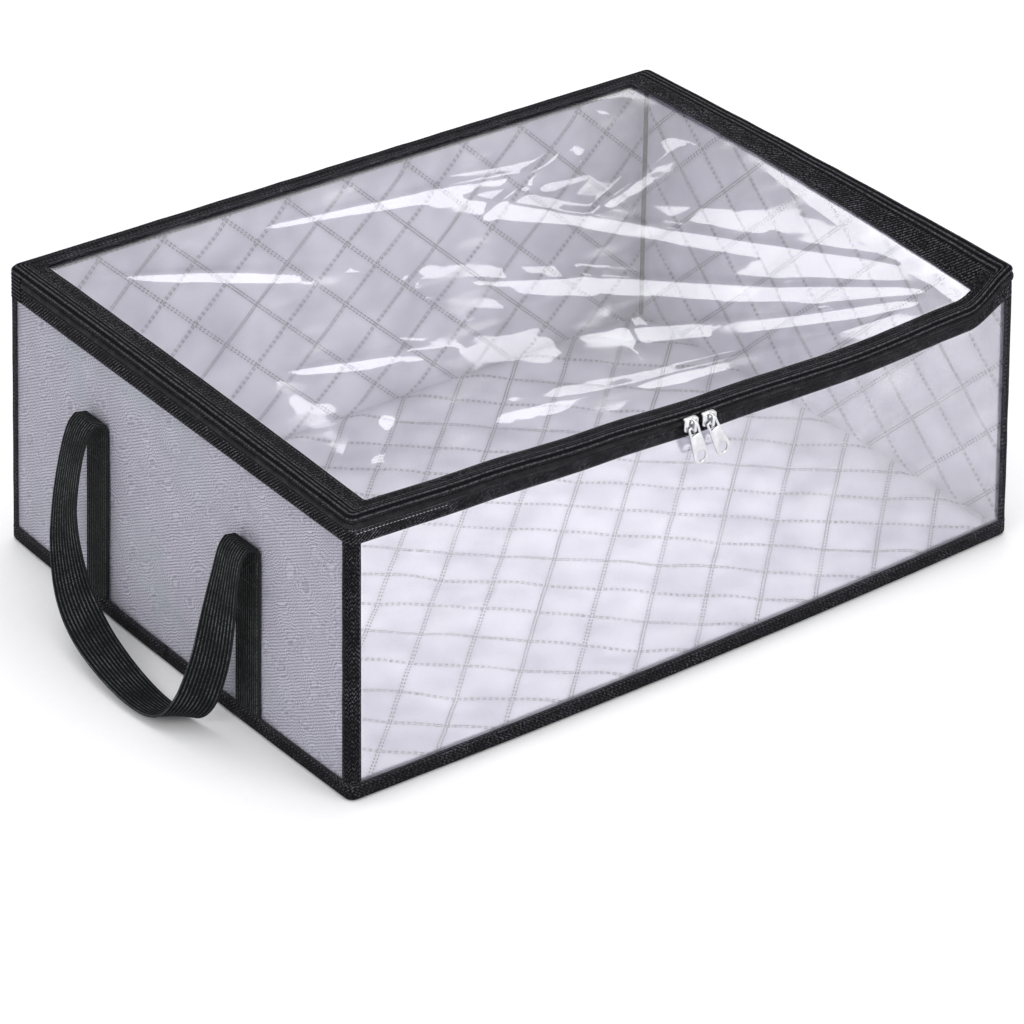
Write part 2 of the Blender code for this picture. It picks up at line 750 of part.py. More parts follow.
def build_case():
    clear_scene()
    black_cloth = make_material("black_binding", (0.018, 0.018, 0.020), 0.85)
    black_coil = make_material("black_zip", (0.015, 0.015, 0.017), 0.55)
    black_webbing = make_material("black_webbing", (0.016, 0.016, 0.018), 0.7)
    grey_cloth = make_material("grey_fabric", (0.36, 0.35, 0.41), 0.9)
    quilted_cloth = make_material("quilted_fabric", (0.55, 0.54, 0.60), 0.9)
    clear_film = make_material("clear_film", (0.9, 0.9, 0.92), 0.08, alpha=0.25)
    bright_metal = make_material("slider_metal", (0.8, 0.8, 0.8), 0.25, metallic=1.0)
    build_base(black_cloth, quilted_cloth)
    build_walls(grey_cloth, quilted_cloth, clear_film)
    build_corners(black_cloth)
    build_lid(black_cloth, black_coil, clear_film)
    build_handle("handle_left", -1, black_webbing)
    build_handle("handle_right", 1, black_webbing)
    build_sliders(bright_metal)


build_case()
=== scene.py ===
"""Looks of a soft carrier case for baseball caps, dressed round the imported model.

The case is a low box of quilted fabric with a clear front and lid, black bound edges, a zip round three sides
of the lid and two webbing handles. The shapes repeat the named sizes and the settling rule of the case's
source, at a finer step, so every piece lies where its solid lies. Lengths are in metres, the front is at -Y.
"""

import logging
import math
from collections.abc import Sequence
from dataclasses import dataclass, field
from enum import Enum

import bmesh
import bpy
import numpy as np
from mathutils import Matrix, Vector

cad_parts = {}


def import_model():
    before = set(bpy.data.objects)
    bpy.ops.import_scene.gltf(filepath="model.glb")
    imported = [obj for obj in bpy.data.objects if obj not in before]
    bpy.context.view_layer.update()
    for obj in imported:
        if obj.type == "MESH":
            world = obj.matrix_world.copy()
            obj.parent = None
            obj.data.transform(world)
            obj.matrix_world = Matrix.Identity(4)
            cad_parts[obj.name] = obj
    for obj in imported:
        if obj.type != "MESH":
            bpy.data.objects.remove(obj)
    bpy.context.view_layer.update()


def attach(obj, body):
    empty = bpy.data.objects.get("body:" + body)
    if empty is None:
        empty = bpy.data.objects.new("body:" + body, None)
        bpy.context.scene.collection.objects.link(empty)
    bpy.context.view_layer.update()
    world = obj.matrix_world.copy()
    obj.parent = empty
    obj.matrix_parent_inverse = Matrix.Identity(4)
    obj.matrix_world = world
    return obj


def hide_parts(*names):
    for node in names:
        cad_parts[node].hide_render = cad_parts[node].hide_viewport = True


log = logging.getLogger("carrier_case")

MM = 0.001
RIDGE_START = 10.6 * MM
RIDGE_PITCH = 2.6 * MM
QUILT_TURN = 47.0
DIAMOND = 34 * MM
Array = np.ndarray
Socket = bpy.types.NodeSocket
Material = bpy.types.Material
Piece = bpy.types.Object


class Side(Enum):
    """The four sides of the case, each with its outward direction in X and Y."""

    LEFT = (-1, 0)
    FRONT = (0, -1)
    RIGHT = (1, 0)
    BACK = (0, 1)


class Lay(Enum):
    """How the threads of a woven tape lie."""

    HERRINGBONE = "herringbone"
    TWILL = "twill"
    RIBBED = "ribbed"


def smooth_step(share: Array) -> Array:
    """Shares from 0 to 1, eased at both ends."""
    held = np.clip(share, 0.0, 1.0)
    return held * held * (3 - 2 * held)


def eased_table(table: Sequence[Sequence[float]], share: Array) -> Array:
    """Reads a two-column table, eased between its rows.

    Args:
        table: Rows of a share and its value, in rising order.
        share: The shares to look up.

    Returns:
        The value at each share.
    """
    rows = np.array(table, float)
    held = np.clip(share, rows[0, 0], rows[-1, 0])
    number = np.clip(np.searchsorted(rows[:, 0], held) - 1, 0, len(rows) - 2)
    low, high = rows[number], rows[number + 1]
    ease = smooth_step((held - low[..., 0]) / (high[..., 0] - low[..., 0]))
    return low[..., 1] + (high[..., 1] - low[..., 1]) * ease


def smooth_rows(table: Sequence[Sequence[float]], steps: int) -> Array:
    """Adds rows between those of a table, on a smooth curve through all.

    Args:
        table: The rows to pass through.
        steps: How many steps one row takes to the next.

    Returns:
        The finer table.
    """
    rows = np.array(table, float)
    held = np.vstack([rows[:1], rows, rows[-1:]])
    before, first, second, after = held[:-3], held[1:-2], held[2:-1], held[3:]
    found = []
    for step in range(steps):
        t = step / steps
        bend = 2 * before - 5 * first + 4 * second - after
        twist = 3 * first - before - 3 * second + after
        found.append(first + 0.5 * t * (second - before + t * (bend + t * twist)))
    return np.vstack([np.stack(found, 1).reshape(-1, rows.shape[1]), rows[-1:]])


def ripple(x: Array, y: Array, seed: int, size: float, waves: int = 7, sharp: bool = False) -> Array:
    """A soft uneven height from a few crossing waves.

    Args:
        x: First coordinates.
        y: Second coordinates.
        seed: Picks the waves, the same ones each run.
        size: About the length of one wave.
        waves: How many waves are added up.
        sharp: Whether the waves are straight folds, which leaves flat facets between them.

    Returns:
        Heights of about -1 to 1.
    """
    random = np.random.default_rng(seed)
    total = np.zeros(np.broadcast(x, y).shape)
    for _ in range(waves):
        turn, phase = random.uniform(0, 2 * math.pi, 2)
        length = size * random.uniform(0.6, 1.7)
        wave = np.sin(2 * math.pi / length * (x * math.cos(turn) + y * math.sin(turn)) + phase)
        total += np.arcsin(wave) * 2 / math.pi if sharp else wave
    return total / math.sqrt(waves) / 1.4


@dataclass
class Route:
    """Stations along the case's outline, with the matching points of an inner outline."""

    place: Array
    outward: Array
    inner: Array

    @property
    def along(self) -> Array:
        """How far each station is from the first."""
        steps = np.linalg.norm(np.diff(self.place, axis=0), axis=1)
        return np.concatenate([[0.0], np.cumsum(steps)])


@dataclass(frozen=True)
class SoftCase:
    """The straight box that everything is laid out on, and how the soft case settles from it."""

    length: float = 533 * MM
    width: float = 385 * MM
    height: float = 200 * MM
    corner: float = 6 * MM
    gap: float = 0.3 * MM
    wall_lean: float = 6.5 * MM
    front_bow: float = 5 * MM
    back_bow: float = 1.5 * MM
    end_bow: float = 3 * MM
    rim_sag: float = 26.5 * MM
    tape: float = 1.7 * MM
    borders: tuple[float, float, float, float] = (20 * MM, 13 * MM, 27 * MM, 12 * MM)
    window_radius: float = 2.5 * MM
    rim_table: tuple[tuple[float, float], ...] = (
        (-1.0, 0.38),
        (-0.65, 0.50),
        (-0.3, 0.66),
        (0.05, 0.83),
        (0.5, 0.99),
        (0.85, 0.88),
        (1.0, 0.12),
    )

    @property
    def half(self) -> tuple[float, float]:
        """Half the length and half the width."""
        return self.length / 2, self.width / 2

    @property
    def window(self) -> tuple[float, float, float, float]:
        """The lid window's left, front, right and back edges."""
        half_x, half_y = self.half
        left, front, right, back = self.borders
        return left - half_x, front - half_y, half_x - right, half_y - back

    def inset(self, depth: float) -> tuple[float, float, float, float]:
        """The edges of an outline a depth inside the case's own."""
        half_x, half_y = self.half
        return depth - half_x, depth - half_y, half_x - depth, half_y - depth

    def settle(self, points: Array) -> Array:
        """Moves points of the straight box to where the soft case has them.

        Args:
            points: Points with X, Y and Z last.

        Returns:
            The settled points, in the same layout.
        """
        x, y, z = np.moveaxis(np.asarray(points, float), -1, 0)
        half_x, half_y = self.half
        height, u, v = z / self.height, x / half_x, y / half_y
        low = 1 - 0.55 * height
        across, along = np.maximum(0, 1 - u * u) * low, np.maximum(0, 1 - v * v) * low
        bow_y = self.back_bow * np.maximum(0, v) ** 3 - self.front_bow * np.maximum(0, -v) ** 3
        bow_x = self.end_bow * np.copysign(np.minimum(1, np.abs(u)) ** 3, u)
        drop = self.rim_sag * eased_table(self.rim_table, u) * np.clip((1 - v) / 2, 0, 1) ** 1.9
        return np.stack(
            [
                x * (1 - height * self.wall_lean / half_x) + along * bow_x,
                y * (1 - height * self.wall_lean / half_y) + across * bow_y,
                z - drop * np.maximum(0, height) ** 3,
            ],
            -1,
        )

    def straight(self, side: Side, start: float, end: float, inner: Sequence[float], step: float) -> Route:
        """The stations of one straight side.

        Args:
            side: The side to follow.
            start: Where the run starts along the side.
            end: Where it ends.
            inner: The inner outline's left, front, right and back edges.
            step: The longest distance between stations.

        Returns:
            The stations, from start to end.
        """
        run = np.linspace(start, end, max(2, math.ceil(abs(end - start) / step) + 1))
        axis = 0 if side.value[0] else 1
        sign = side.value[axis]
        low, high = inner[1 - axis] + self.window_radius, inner[3 - axis] - self.window_radius
        place, window = np.empty((len(run), 2)), np.empty((len(run), 2))
        place[:, axis], place[:, 1 - axis] = sign * self.half[axis], run
        window[:, axis] = inner[axis + (2 if sign > 0 else 0)]
        window[:, 1 - axis] = np.clip(run, low, high)
        return Route(place, np.tile(np.array(side.value, float), (len(run), 1)), window)

    def bend(self, first: Side, second: Side, inner: Sequence[float], steps: int = 9) -> Route:
        """The stations round the corner between two sides.

        Args:
            first: The side that the run comes from.
            second: The side that it goes on to.
            inner: The inner outline's left, front, right and back edges.
            steps: How many steps the corner takes.

        Returns:
            The stations, with both ends.
        """
        sign = np.array(first.value) + np.array(second.value)
        turn = np.linspace(0, math.pi / 2, steps + 1)[:, None]
        outward = np.cos(turn) * np.array(first.value) + np.sin(turn) * np.array(second.value)
        centre = sign * (np.array(self.half) - self.corner)
        edges = np.array([inner[0 if sign[0] < 0 else 2], inner[1 if sign[1] < 0 else 3]])
        window = edges - sign * self.window_radius
        return Route(centre + self.corner * outward, outward, window + self.window_radius * outward)

    def route(self, sides: Sequence[Side], start: float, end: float, inner: Sequence[float], step: float) -> Route:
        """Follows several sides in turn, with the corners between them.

        Args:
            sides: The sides in order.
            start: Where the run starts along the first side.
            end: Where it ends along the last.
            inner: The inner outline's left, front, right and back edges.
            step: The longest distance between stations.

        Returns:
            The joined stations.
        """
        parts = []
        for number, side in enumerate(sides):
            axis = 1 if side.value[0] else 0
            reach = self.half[axis] - self.corner
            before = sides[number - 1].value[axis] if number else 0
            after = sides[number + 1].value[axis] if number + 1 < len(sides) else 0
            first = before * reach if number else start
            last = after * reach if number + 1 < len(sides) else end
            parts.append(self.straight(side, first, last, inner, step))
            if number + 1 < len(sides):
                parts.append(self.bend(side, sides[number + 1], inner))
        place = np.vstack([part.place for part in parts])
        keep = np.concatenate([[True], np.linalg.norm(np.diff(place, axis=0), axis=1) > 1e-6])
        outward = np.vstack([part.outward for part in parts])
        window = np.vstack([part.inner for part in parts])
        return Route(place[keep], outward[keep], window[keep])


@dataclass(frozen=True)
class TapeProfile:
    """A tape's cross-section: its middle line in rows of share, out and z, and how thick and full it is.

    Share is 0 on the inner outline and 1 on the case's own, out is the distance outwards from there.
    """

    rows: tuple[tuple[float, float, float], ...]
    thickness: float
    swell: float = 0.0
    ridges: float = 0.0
    ridge_height: float = 0.0
    ridge_from: float = 0.0
    step: float = 0.9 * MM

    def loop(self) -> tuple[Array, Array, Array]:
        """Works out the closed outline round the middle line, with rounded edges.

        Returns:
            The outline's rows, how far each is across the tape, and how near the middle of its face.
        """
        rows = np.array(self.rows, float)
        flat = np.stack([rows[:, 1] + (rows[:, 0] - 1) * 20 * MM, rows[:, 2]], 1)
        run = np.concatenate([[0.0], np.cumsum(np.linalg.norm(np.diff(flat, axis=0), axis=1))])
        half = self.thickness / 2
        count = max(4, math.ceil((run[-1] - 2 * half) / self.step) + 1)
        across = np.linspace(half, run[-1] - half, count)
        line = np.stack([np.interp(across, run, column) for column in rows.T], 1)
        path = np.stack([np.interp(across, run, column) for column in flat.T], 1)
        tangent = np.gradient(path, axis=0)
        tangent /= np.linalg.norm(tangent, axis=1, keepdims=True)
        normal = np.stack([-tangent[:, 1], tangent[:, 0]], 1)
        share = (across - half) / (across[-1] - half)
        full = half + self.swell * np.sin(math.pi * share) ** 0.7
        if self.ridges:
            ridge = np.abs(np.sin(math.pi * (across - self.ridge_from) / self.ridges))
            full = full + self.ridge_height * ridge * (across > self.ridge_from)

        def off(base: Array, shift: Array) -> Array:
            return np.column_stack([base[:, 0], base[:, 1] + shift[:, 0], base[:, 2] + shift[:, 1]])

        turn = np.linspace(0, math.pi, 5)[1:-1, None]
        far = off(np.tile(line[-1], (3, 1)), half * (np.cos(turn) * normal[-1] + np.sin(turn) * tangent[-1]))
        near = off(np.tile(line[0], (3, 1)), half * (-np.cos(turn) * normal[0] - np.sin(turn) * tangent[0]))
        outline = np.vstack([off(line, normal * full[:, None]), far, off(line, -normal * half)[::-1], near])
        places = np.concatenate([across, np.full(3, run[-1]), across[::-1], np.zeros(3)])
        middle = np.minimum(places, run[-1] - places)
        return outline, places, middle


class Draft:
    """Points and faces of one piece before it becomes a mesh, each point with its place on the cloth."""

    def __init__(self) -> None:
        """Starts an empty draft."""
        self.points: list[Array] = []
        self.cloth: list[Array] = []
        self.faces: list[list[int]] = []
        self.finish: list[int] = []
        self.count = 0

    def add_points(self, points: Array, cloth: Array) -> int:
        """Adds points and returns the number of the first."""
        start = self.count
        self.points.append(points.reshape(-1, 3))
        self.cloth.append(cloth.reshape(-1, 3))
        self.count += len(self.points[-1])
        return start

    def add_faces(self, faces: Array, finish: int = 0) -> None:
        """Adds faces of one finish, each a row of point numbers."""
        self.faces.extend(faces.tolist())
        self.finish.extend([finish] * len(faces))

    def add_grid(self, points: Array, cloth: Array, ring: bool = False, finish: int = 0) -> Array:
        """Adds a grid of points with a face in each cell.

        Args:
            points: The grid, as rows, columns and X, Y, Z.
            cloth: Each point's place on the cloth.
            ring: Whether the last column meets the first.
            finish: The number of the grid's finish.

        Returns:
            The numbers of the grid's points, in the same layout.
        """
        start = self.add_points(points, cloth)
        index = start + np.arange(points.shape[0] * points.shape[1]).reshape(points.shape[:2])
        held = np.hstack([index, index[:, :1]]) if ring else index
        cells = np.stack([held[:-1, :-1], held[1:, :-1], held[1:, 1:], held[:-1, 1:]], -1)
        self.add_faces(cells.reshape(-1, 4), finish)
        return index

    def add_sheet(self, outer: Array, inner: Array, cloth: Array, finishes: tuple[int, int] = (0, 0)) -> None:
        """Adds a sheet with two skins, closed along its edges.

        Args:
            outer: The outer skin's grid of points.
            inner: The inner skin's, in the same layout.
            cloth: The place on the cloth of each point of a skin.
            finishes: The numbers of the outer and the inner skin's finish.
        """
        first = self.add_grid(outer, cloth, finish=finishes[0])
        second = self.add_grid(inner, cloth, finish=finishes[1])

        def edge(index: Array) -> Array:
            return np.concatenate([index[0], index[1:, -1], index[-1, -2::-1], index[-2:0:-1, 0]])

        here, there = edge(first), edge(second)
        rim = np.stack([here, np.roll(here, -1), np.roll(there, -1), there], 1)
        self.add_faces(rim, finishes[0])

    def add_tape(self, sections: Array, cloth: Array, ring: bool = False) -> None:
        """Adds a strip through matching sections, capped unless it meets itself.

        Args:
            sections: The sections in order, each a closed loop of points.
            cloth: Each point's place on the cloth.
            ring: Whether the last section meets the first.
        """
        if ring:
            sections, cloth = np.concatenate([sections, sections[:1]]), np.concatenate([cloth, cloth[:1]])
        index = self.add_grid(sections, cloth, ring=True)
        if not ring:
            self.add_faces(index[:1], 0)
            self.add_faces(index[-1:], 0)

    def add_stitches(self, middles: Array, along: Array, outward: Array, size: Sequence[float]) -> None:
        """Adds stitches, each a short low grain of thread.

        Args:
            middles: The stitches' middles.
            along: The direction of each stitch.
            outward: The direction away from the cloth under it.
            size: The length, width and height of a stitch.
        """
        along = along / np.linalg.norm(along, axis=-1, keepdims=True)
        outward = outward - along * np.sum(along * outward, -1, keepdims=True)
        outward = outward / np.linalg.norm(outward, axis=-1, keepdims=True)
        side = np.cross(outward, along)
        length, width, height = size
        ends, flanks = along * length / 2, side * width / 2
        points = np.stack(
            [
                middles - ends - outward * height * 0.3,
                middles + flanks * 0.9,
                middles + ends - outward * height * 0.3,
                middles - flanks * 0.9,
                middles + outward * height,
                middles - outward * height * 0.6,
            ],
            1,
        )
        start = self.add_points(points, np.zeros_like(points))
        shape = np.array([(0, 1, 4), (1, 2, 4), (2, 3, 4), (3, 0, 4), (1, 0, 5), (2, 1, 5), (3, 2, 5), (0, 3, 5)])
        self.add_faces((start + np.arange(len(points))[:, None, None] * 6 + shape).reshape(-1, 3))

    def build(self, name: str, finishes: Sequence[Material], crease: float = 40) -> Piece:
        """Makes the draft into an object.

        Args:
            name: The piece's name.
            finishes: Its materials, in the order of their numbers.
            crease: The angle in degrees from which an edge stays sharp.

        Returns:
            The new object, in the scene.
        """
        points, cloth = np.vstack(self.points), np.vstack(self.cloth)
        mesh = bpy.data.meshes.new(name)
        mesh.from_pydata(points, [], self.faces)
        for finish in finishes:
            mesh.materials.append(finish)
        mesh.polygons.foreach_set("material_index", self.finish)
        places = mesh.attributes.new("cloth", "FLOAT_VECTOR", "POINT")
        places.data.foreach_set("vector", cloth.astype(np.float32).ravel())
        solid = bmesh.new()
        solid.from_mesh(mesh)
        bmesh.ops.recalc_face_normals(solid, faces=solid.faces)
        solid.to_mesh(mesh)
        solid.free()
        mesh.shade_smooth()
        mesh.set_sharp_from_angle(angle=math.radians(crease))
        piece = bpy.data.objects.new(name, mesh)
        bpy.context.scene.collection.objects.link(piece)
        return piece


def dress(piece: Piece, body: str, slot: str, *replaced: str) -> Piece:
    """Rides a piece on its body, hides the solids that it stands for, and reports it."""
    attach(piece, body)
    if replaced:
        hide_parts(*replaced)
    log.info("%s: %d faces on %s", piece.name, len(piece.data.polygons), body)
    return piece


class Shade:
    """Adds and joins the nodes of one material."""

    def __init__(self, name: str) -> None:
        """Starts a material with its shader."""
        self.material = bpy.data.materials.new(name)
        self.material.use_nodes = True
        self.tree = self.material.node_tree
        self.shader = self.tree.nodes["Principled BSDF"]

    def node(self, kind: str, inputs: dict[int | str, object] | None = None, **settings: object) -> bpy.types.Node:
        """Adds a node.

        Args:
            kind: The node's type.
            inputs: What its sockets hold or are joined to.
            settings: Its own properties.

        Returns:
            The node.
        """
        made = self.tree.nodes.new(kind)
        for name, value in settings.items():
            setattr(made, name, value)
        for name, value in (inputs or {}).items():
            self.feed(made.inputs[name], value)
        return made

    def feed(self, socket: Socket, value: object) -> None:
        """Joins a socket to another, or sets its value."""
        if isinstance(value, bpy.types.NodeSocket):
            self.tree.links.new(value, socket)
        elif isinstance(value, tuple) and len(value) == 3 and socket.type == "RGBA":
            socket.default_value = (*value, 1.0)
        else:
            socket.default_value = value

    def cloth(self) -> Socket:
        """Places along and across the cloth, in metres."""
        return self.node("ShaderNodeAttribute", attribute_name="cloth").outputs["Vector"]

    def solid(self) -> Socket:
        """Places in the piece itself."""
        return self.node("ShaderNodeTexCoord").outputs["Object"]

    def part(self, vector: Socket, axis: int) -> Socket:
        """One coordinate of a vector."""
        return self.node("ShaderNodeSeparateXYZ", {0: vector}).outputs[axis]

    def math(self, operation: str, first: object, second: object = 0.0, third: object = 0.0) -> Socket:
        """The result of one operation on numbers."""
        sockets = {0: first, 1: second, 2: third}
        return self.node("ShaderNodeMath", sockets, operation=operation).outputs[0]

    def noise(self, vector: Socket, size: float, detail: float = 2.0, roughness: float = 0.5) -> Socket:
        """Uneven grey of about the given size in metres."""
        sockets = {"Vector": vector, "Scale": 1 / size, "Detail": detail, "Roughness": roughness}
        return self.node("ShaderNodeTexNoise", sockets).outputs[0]

    def stretched(self, vector: Socket, scale: tuple[float, float, float]) -> Socket:
        """A vector with each coordinate scaled."""
        return self.node("ShaderNodeVectorMath", {0: vector, 1: scale}, operation="MULTIPLY").outputs[0]

    def stripes(self, vector: Socket, turn: float, pitch: float, wobble: Socket | float = 0.0) -> Socket:
        """Soft parallel lines on the cloth.

        Args:
            vector: Places along and across the cloth.
            turn: The angle of the lines' normal to the cloth's length, in degrees.
            pitch: From one line to the next.
            wobble: An extra phase, in turns.

        Returns:
            From 0 between the lines to 1 on them.
        """
        axis = (math.cos(math.radians(turn)) / pitch, math.sin(math.radians(turn)) / pitch, 0.0)
        place = self.node("ShaderNodeVectorMath", {0: vector, 1: axis}, operation="DOT_PRODUCT").outputs["Value"]
        phase = self.math("MULTIPLY", self.math("ADD", place, wobble), 2 * math.pi)
        return self.math("MULTIPLY_ADD", self.math("SINE", phase), 0.5, 0.5)

    def off_line(self, vector: Socket, turn: float, pitch: float) -> Socket:
        """How far each place is, in metres, from the nearest of parallel lines with the given normal and pitch."""
        axis = (math.cos(math.radians(turn)) / pitch, math.sin(math.radians(turn)) / pitch, 0.0)
        place = self.node("ShaderNodeVectorMath", {0: vector, 1: axis}, operation="DOT_PRODUCT").outputs["Value"]
        return self.math("MULTIPLY", self.math("PINGPONG", place, 0.5), pitch)

    def span(self, value: Socket, low: float, high: float, to_low: float = 0.0, to_high: float = 1.0) -> Socket:
        """A number carried smoothly from one span to another, and held inside it."""
        sockets = {"Value": value, "From Min": low, "From Max": high, "To Min": to_low, "To Max": to_high}
        return self.node("ShaderNodeMapRange", sockets, interpolation_type="SMOOTHSTEP").outputs[0]

    def mix(self, factor: Socket | float, first: object, second: object, blend: str = "MIX") -> Socket:
        """Two colours mixed."""
        made = self.node("ShaderNodeMix", data_type="RGBA", blend_type=blend)
        self.feed(made.inputs[0], factor)
        self.feed(made.inputs[6], first)
        self.feed(made.inputs[7], second)
        return made.outputs[2]

    def bump(self, height: Socket, distance: float, under: Socket | None = None, strength: float = 1.0) -> Socket:
        """A normal for a relief of the given depth in metres."""
        made = self.node("ShaderNodeBump", {"Height": height, "Distance": distance, "Strength": strength})
        if under is not None:
            self.tree.links.new(under, made.inputs["Normal"])
        return made.outputs[0]

    def finish(self, **sockets: object) -> Material:
        """Feeds the shader's sockets, named with underscores for spaces, and returns the material."""
        for name, value in sockets.items():
            self.feed(self.shader.inputs[name.replace("_", " ")], value)
        return self.material


@dataclass(frozen=True)
class HeatherTwill:
    """Lilac-grey melange twill of the outer panels."""

    light: tuple[float, float, float] = (0.62, 0.605, 0.70)
    dark: tuple[float, float, float] = (0.17, 0.165, 0.21)
    tint: tuple[float, float, float] = (0.34, 0.42, 0.44)
    pitch: float = 1.9 * MM

    def material(self, name: str) -> Material:
        """Twill lines that wander a little, flecks of lighter and darker fibre, and soft clouds of tint."""
        shade = Shade(name)
        cloth = shade.cloth()
        drift = shade.math("MULTIPLY", shade.noise(cloth, 36 * MM, 1), 1.5)
        lines = shade.stripes(cloth, 62, self.pitch, drift)
        cross = shade.stripes(cloth, -38, self.pitch * 0.62, drift)
        patches = shade.span(shade.noise(cloth, 34 * MM, 3), 0.35, 0.75, 0.1, 0.7)
        fibre = shade.noise(shade.stretched(cloth, (1.0, 0.45, 1.0)), 0.8 * MM, 3, 0.7)
        grain = shade.math("MULTIPLY_ADD", cross, 0.3, shade.math("MULTIPLY", lines, 0.7))
        soft = shade.mix(patches, grain, fibre)
        tone = shade.span(shade.math("MULTIPLY_ADD", soft, 0.6, shade.math("MULTIPLY", fibre, 0.6)), 0.3, 0.88)
        base = shade.mix(tone, self.dark, self.light)
        clouds = shade.span(shade.noise(shade.solid(), 70 * MM, 3), 0.5, 0.75, 0.0, 0.35)
        tinted = shade.mix(clouds, base, self.tint)
        wide = shade.span(patches, 0.0, 1.0, 0.97, 1.03)
        colour = shade.mix(1.0, tinted, wide, "MULTIPLY")
        relief = shade.bump(shade.math("ADD", grain, fibre), 0.3 * MM)
        return shade.finish(Base_Color=colour, Normal=relief, Roughness=0.86, Specular_IOR_Level=0.3)


@dataclass(frozen=True)
class QuiltedLining:
    """Pale lavender felted lining, with dark stitch rows and a painted shade along its sewn lines."""

    light: tuple[float, float, float] = (0.72, 0.70, 0.79)
    dark: tuple[float, float, float] = (0.46, 0.44, 0.53)

    def material(self, name: str) -> Material:
        """Felted fibre, soft clouds, the dashed double rows of the quilting stitches, and a painted shade along the
        quilting lines.
        """
        shade = Shade(name)
        cloth = shade.cloth()
        fibre = shade.noise(shade.stretched(cloth, (1.0, 0.5, 1.0)), 1.2 * MM, 2, 0.75)
        clouds = shade.noise(shade.solid(), 30 * MM, 1)
        tone = shade.math("MULTIPLY_ADD", clouds, 0.6, shade.math("MULTIPLY", fibre, 0.6))
        base = shade.mix(shade.span(tone, 0.35, 0.8), self.dark, self.light)
        # Dark dashed stitch rows together with a painted shade in the quilting grooves
        stitches_and_groove_shade: Socket | float = 0.0
        for turn in (QUILT_TURN, -QUILT_TURN):
            off = shade.off_line(cloth, turn, DIAMOND)
            rows = shade.span(shade.math("ABSOLUTE", shade.math("SUBTRACT", off, 0.9 * MM)), 0.2 * MM, 0.7 * MM, 0.85, 0.0)
            dash = shade.span(shade.stripes(cloth, turn + 90, 3.8 * MM), 0.25, 0.55)
            # Painted shade in the quilting groove, darkest on the sewn line and gone 5 mm from it
            soft = shade.span(off, 0.0, 5 * MM, 0.2, 0.0)
            stitches_and_groove_shade = shade.math("MAXIMUM", stitches_and_groove_shade, shade.math("MULTIPLY_ADD", rows, dash, soft))
        colour = shade.mix(stitches_and_groove_shade, base, (0.16, 0.15, 0.2))
        relief = shade.bump(fibre, 0.18 * MM)
        return shade.finish(Base_Color=colour, Normal=relief, Roughness=0.92, Specular_IOR_Level=0.2)


@dataclass(frozen=True)
class WovenTape:
    """Near-black woven tape of the bindings, the zip's tapes and the handles."""

    lay: Lay = Lay.HERRINGBONE
    dark: tuple[float, float, float] = (0.003, 0.0029, 0.0042)
    light: tuple[float, float, float] = (0.26, 0.25, 0.285)
    pitch: float = 1.75 * MM
    fleck: float = 0.42
    roughness: float = 0.74
    # Whether the ridge crests get a painted highlight and the grooves between them a painted shade
    painted_ridge_light: bool = False

    def material(self, name: str) -> Material:
        """Threads in the tape's lay, paler flecks where they catch the light, edges worn a little grey, and on ridges a
        painted highlight with painted shade between.
        """
        shade = Shade(name)
        cloth = shade.cloth()
        fuzz = shade.noise(cloth, self.pitch * 0.75, 3, 0.75)
        if self.lay is Lay.HERRINGBONE:
            one = shade.stripes(cloth, 55, self.pitch)
            two = shade.stripes(cloth, -55, self.pitch)
            bands = shade.span(shade.stripes(cloth, 90, 2.9 * MM), 0.4, 0.6)
            grain = shade.mix(bands, one, two)
        elif self.lay is Lay.TWILL:
            grain = shade.stripes(cloth, 48, self.pitch, shade.math("MULTIPLY", fuzz, 0.3))
        else:
            ribs = shade.stripes(cloth, 0, self.pitch)
            rows = shade.stripes(cloth, 90, 2.27 * MM)
            grain = shade.math("MULTIPLY_ADD", shade.math("POWER", rows, 2.0), 0.85, shade.math("MULTIPLY", ribs, 0.22))
        uneven = shade.span(fuzz, 0.36, 0.68, 0.4 if self.lay is Lay.RIBBED else 0.0)
        caught = shade.span(shade.math("MULTIPLY", grain, uneven), 0.16, 0.8)
        smoky = shade.span(shade.noise(shade.solid(), 17 * MM, 3, 0.6), 0.38, 0.72, 0.35, 1.1)
        tone = shade.math("MULTIPLY", shade.math("MULTIPLY", caught, smoky), self.fleck)
        # Painted highlight on the ridge crests and painted shade in the grooves, over the ridged part of the tape
        if self.painted_ridge_light:
            crest = shade.stripes(cloth, 90, RIDGE_PITCH, -0.25 - RIDGE_START / RIDGE_PITCH)
            zone = shade.span(shade.part(cloth, 1), RIDGE_START - 0.6 * MM, RIDGE_START + 0.2 * MM)
            lit = shade.math("MULTIPLY", shade.math("POWER", crest, 3.0), shade.span(fuzz, 0.35, 0.7, 0.06, 0.42))
            tone = shade.math("MULTIPLY_ADD", zone, shade.math("SUBTRACT", lit, tone), tone)
        base = shade.mix(tone, self.dark, self.light)
        worn = shade.span(shade.part(cloth, 2), 0.0, 1.1 * MM, 0.08, 0.0)
        colour = shade.mix(worn, base, self.light)
        relief = shade.bump(grain, 0.35 * MM, shade.bump(fuzz, 0.2 * MM))
        rough = shade.span(smoky, 0.35, 1.1, self.roughness - 0.1, self.roughness + 0.08)
        return shade.finish(Base_Color=colour, Normal=relief, Roughness=rough, Specular_IOR_Level=0.05)


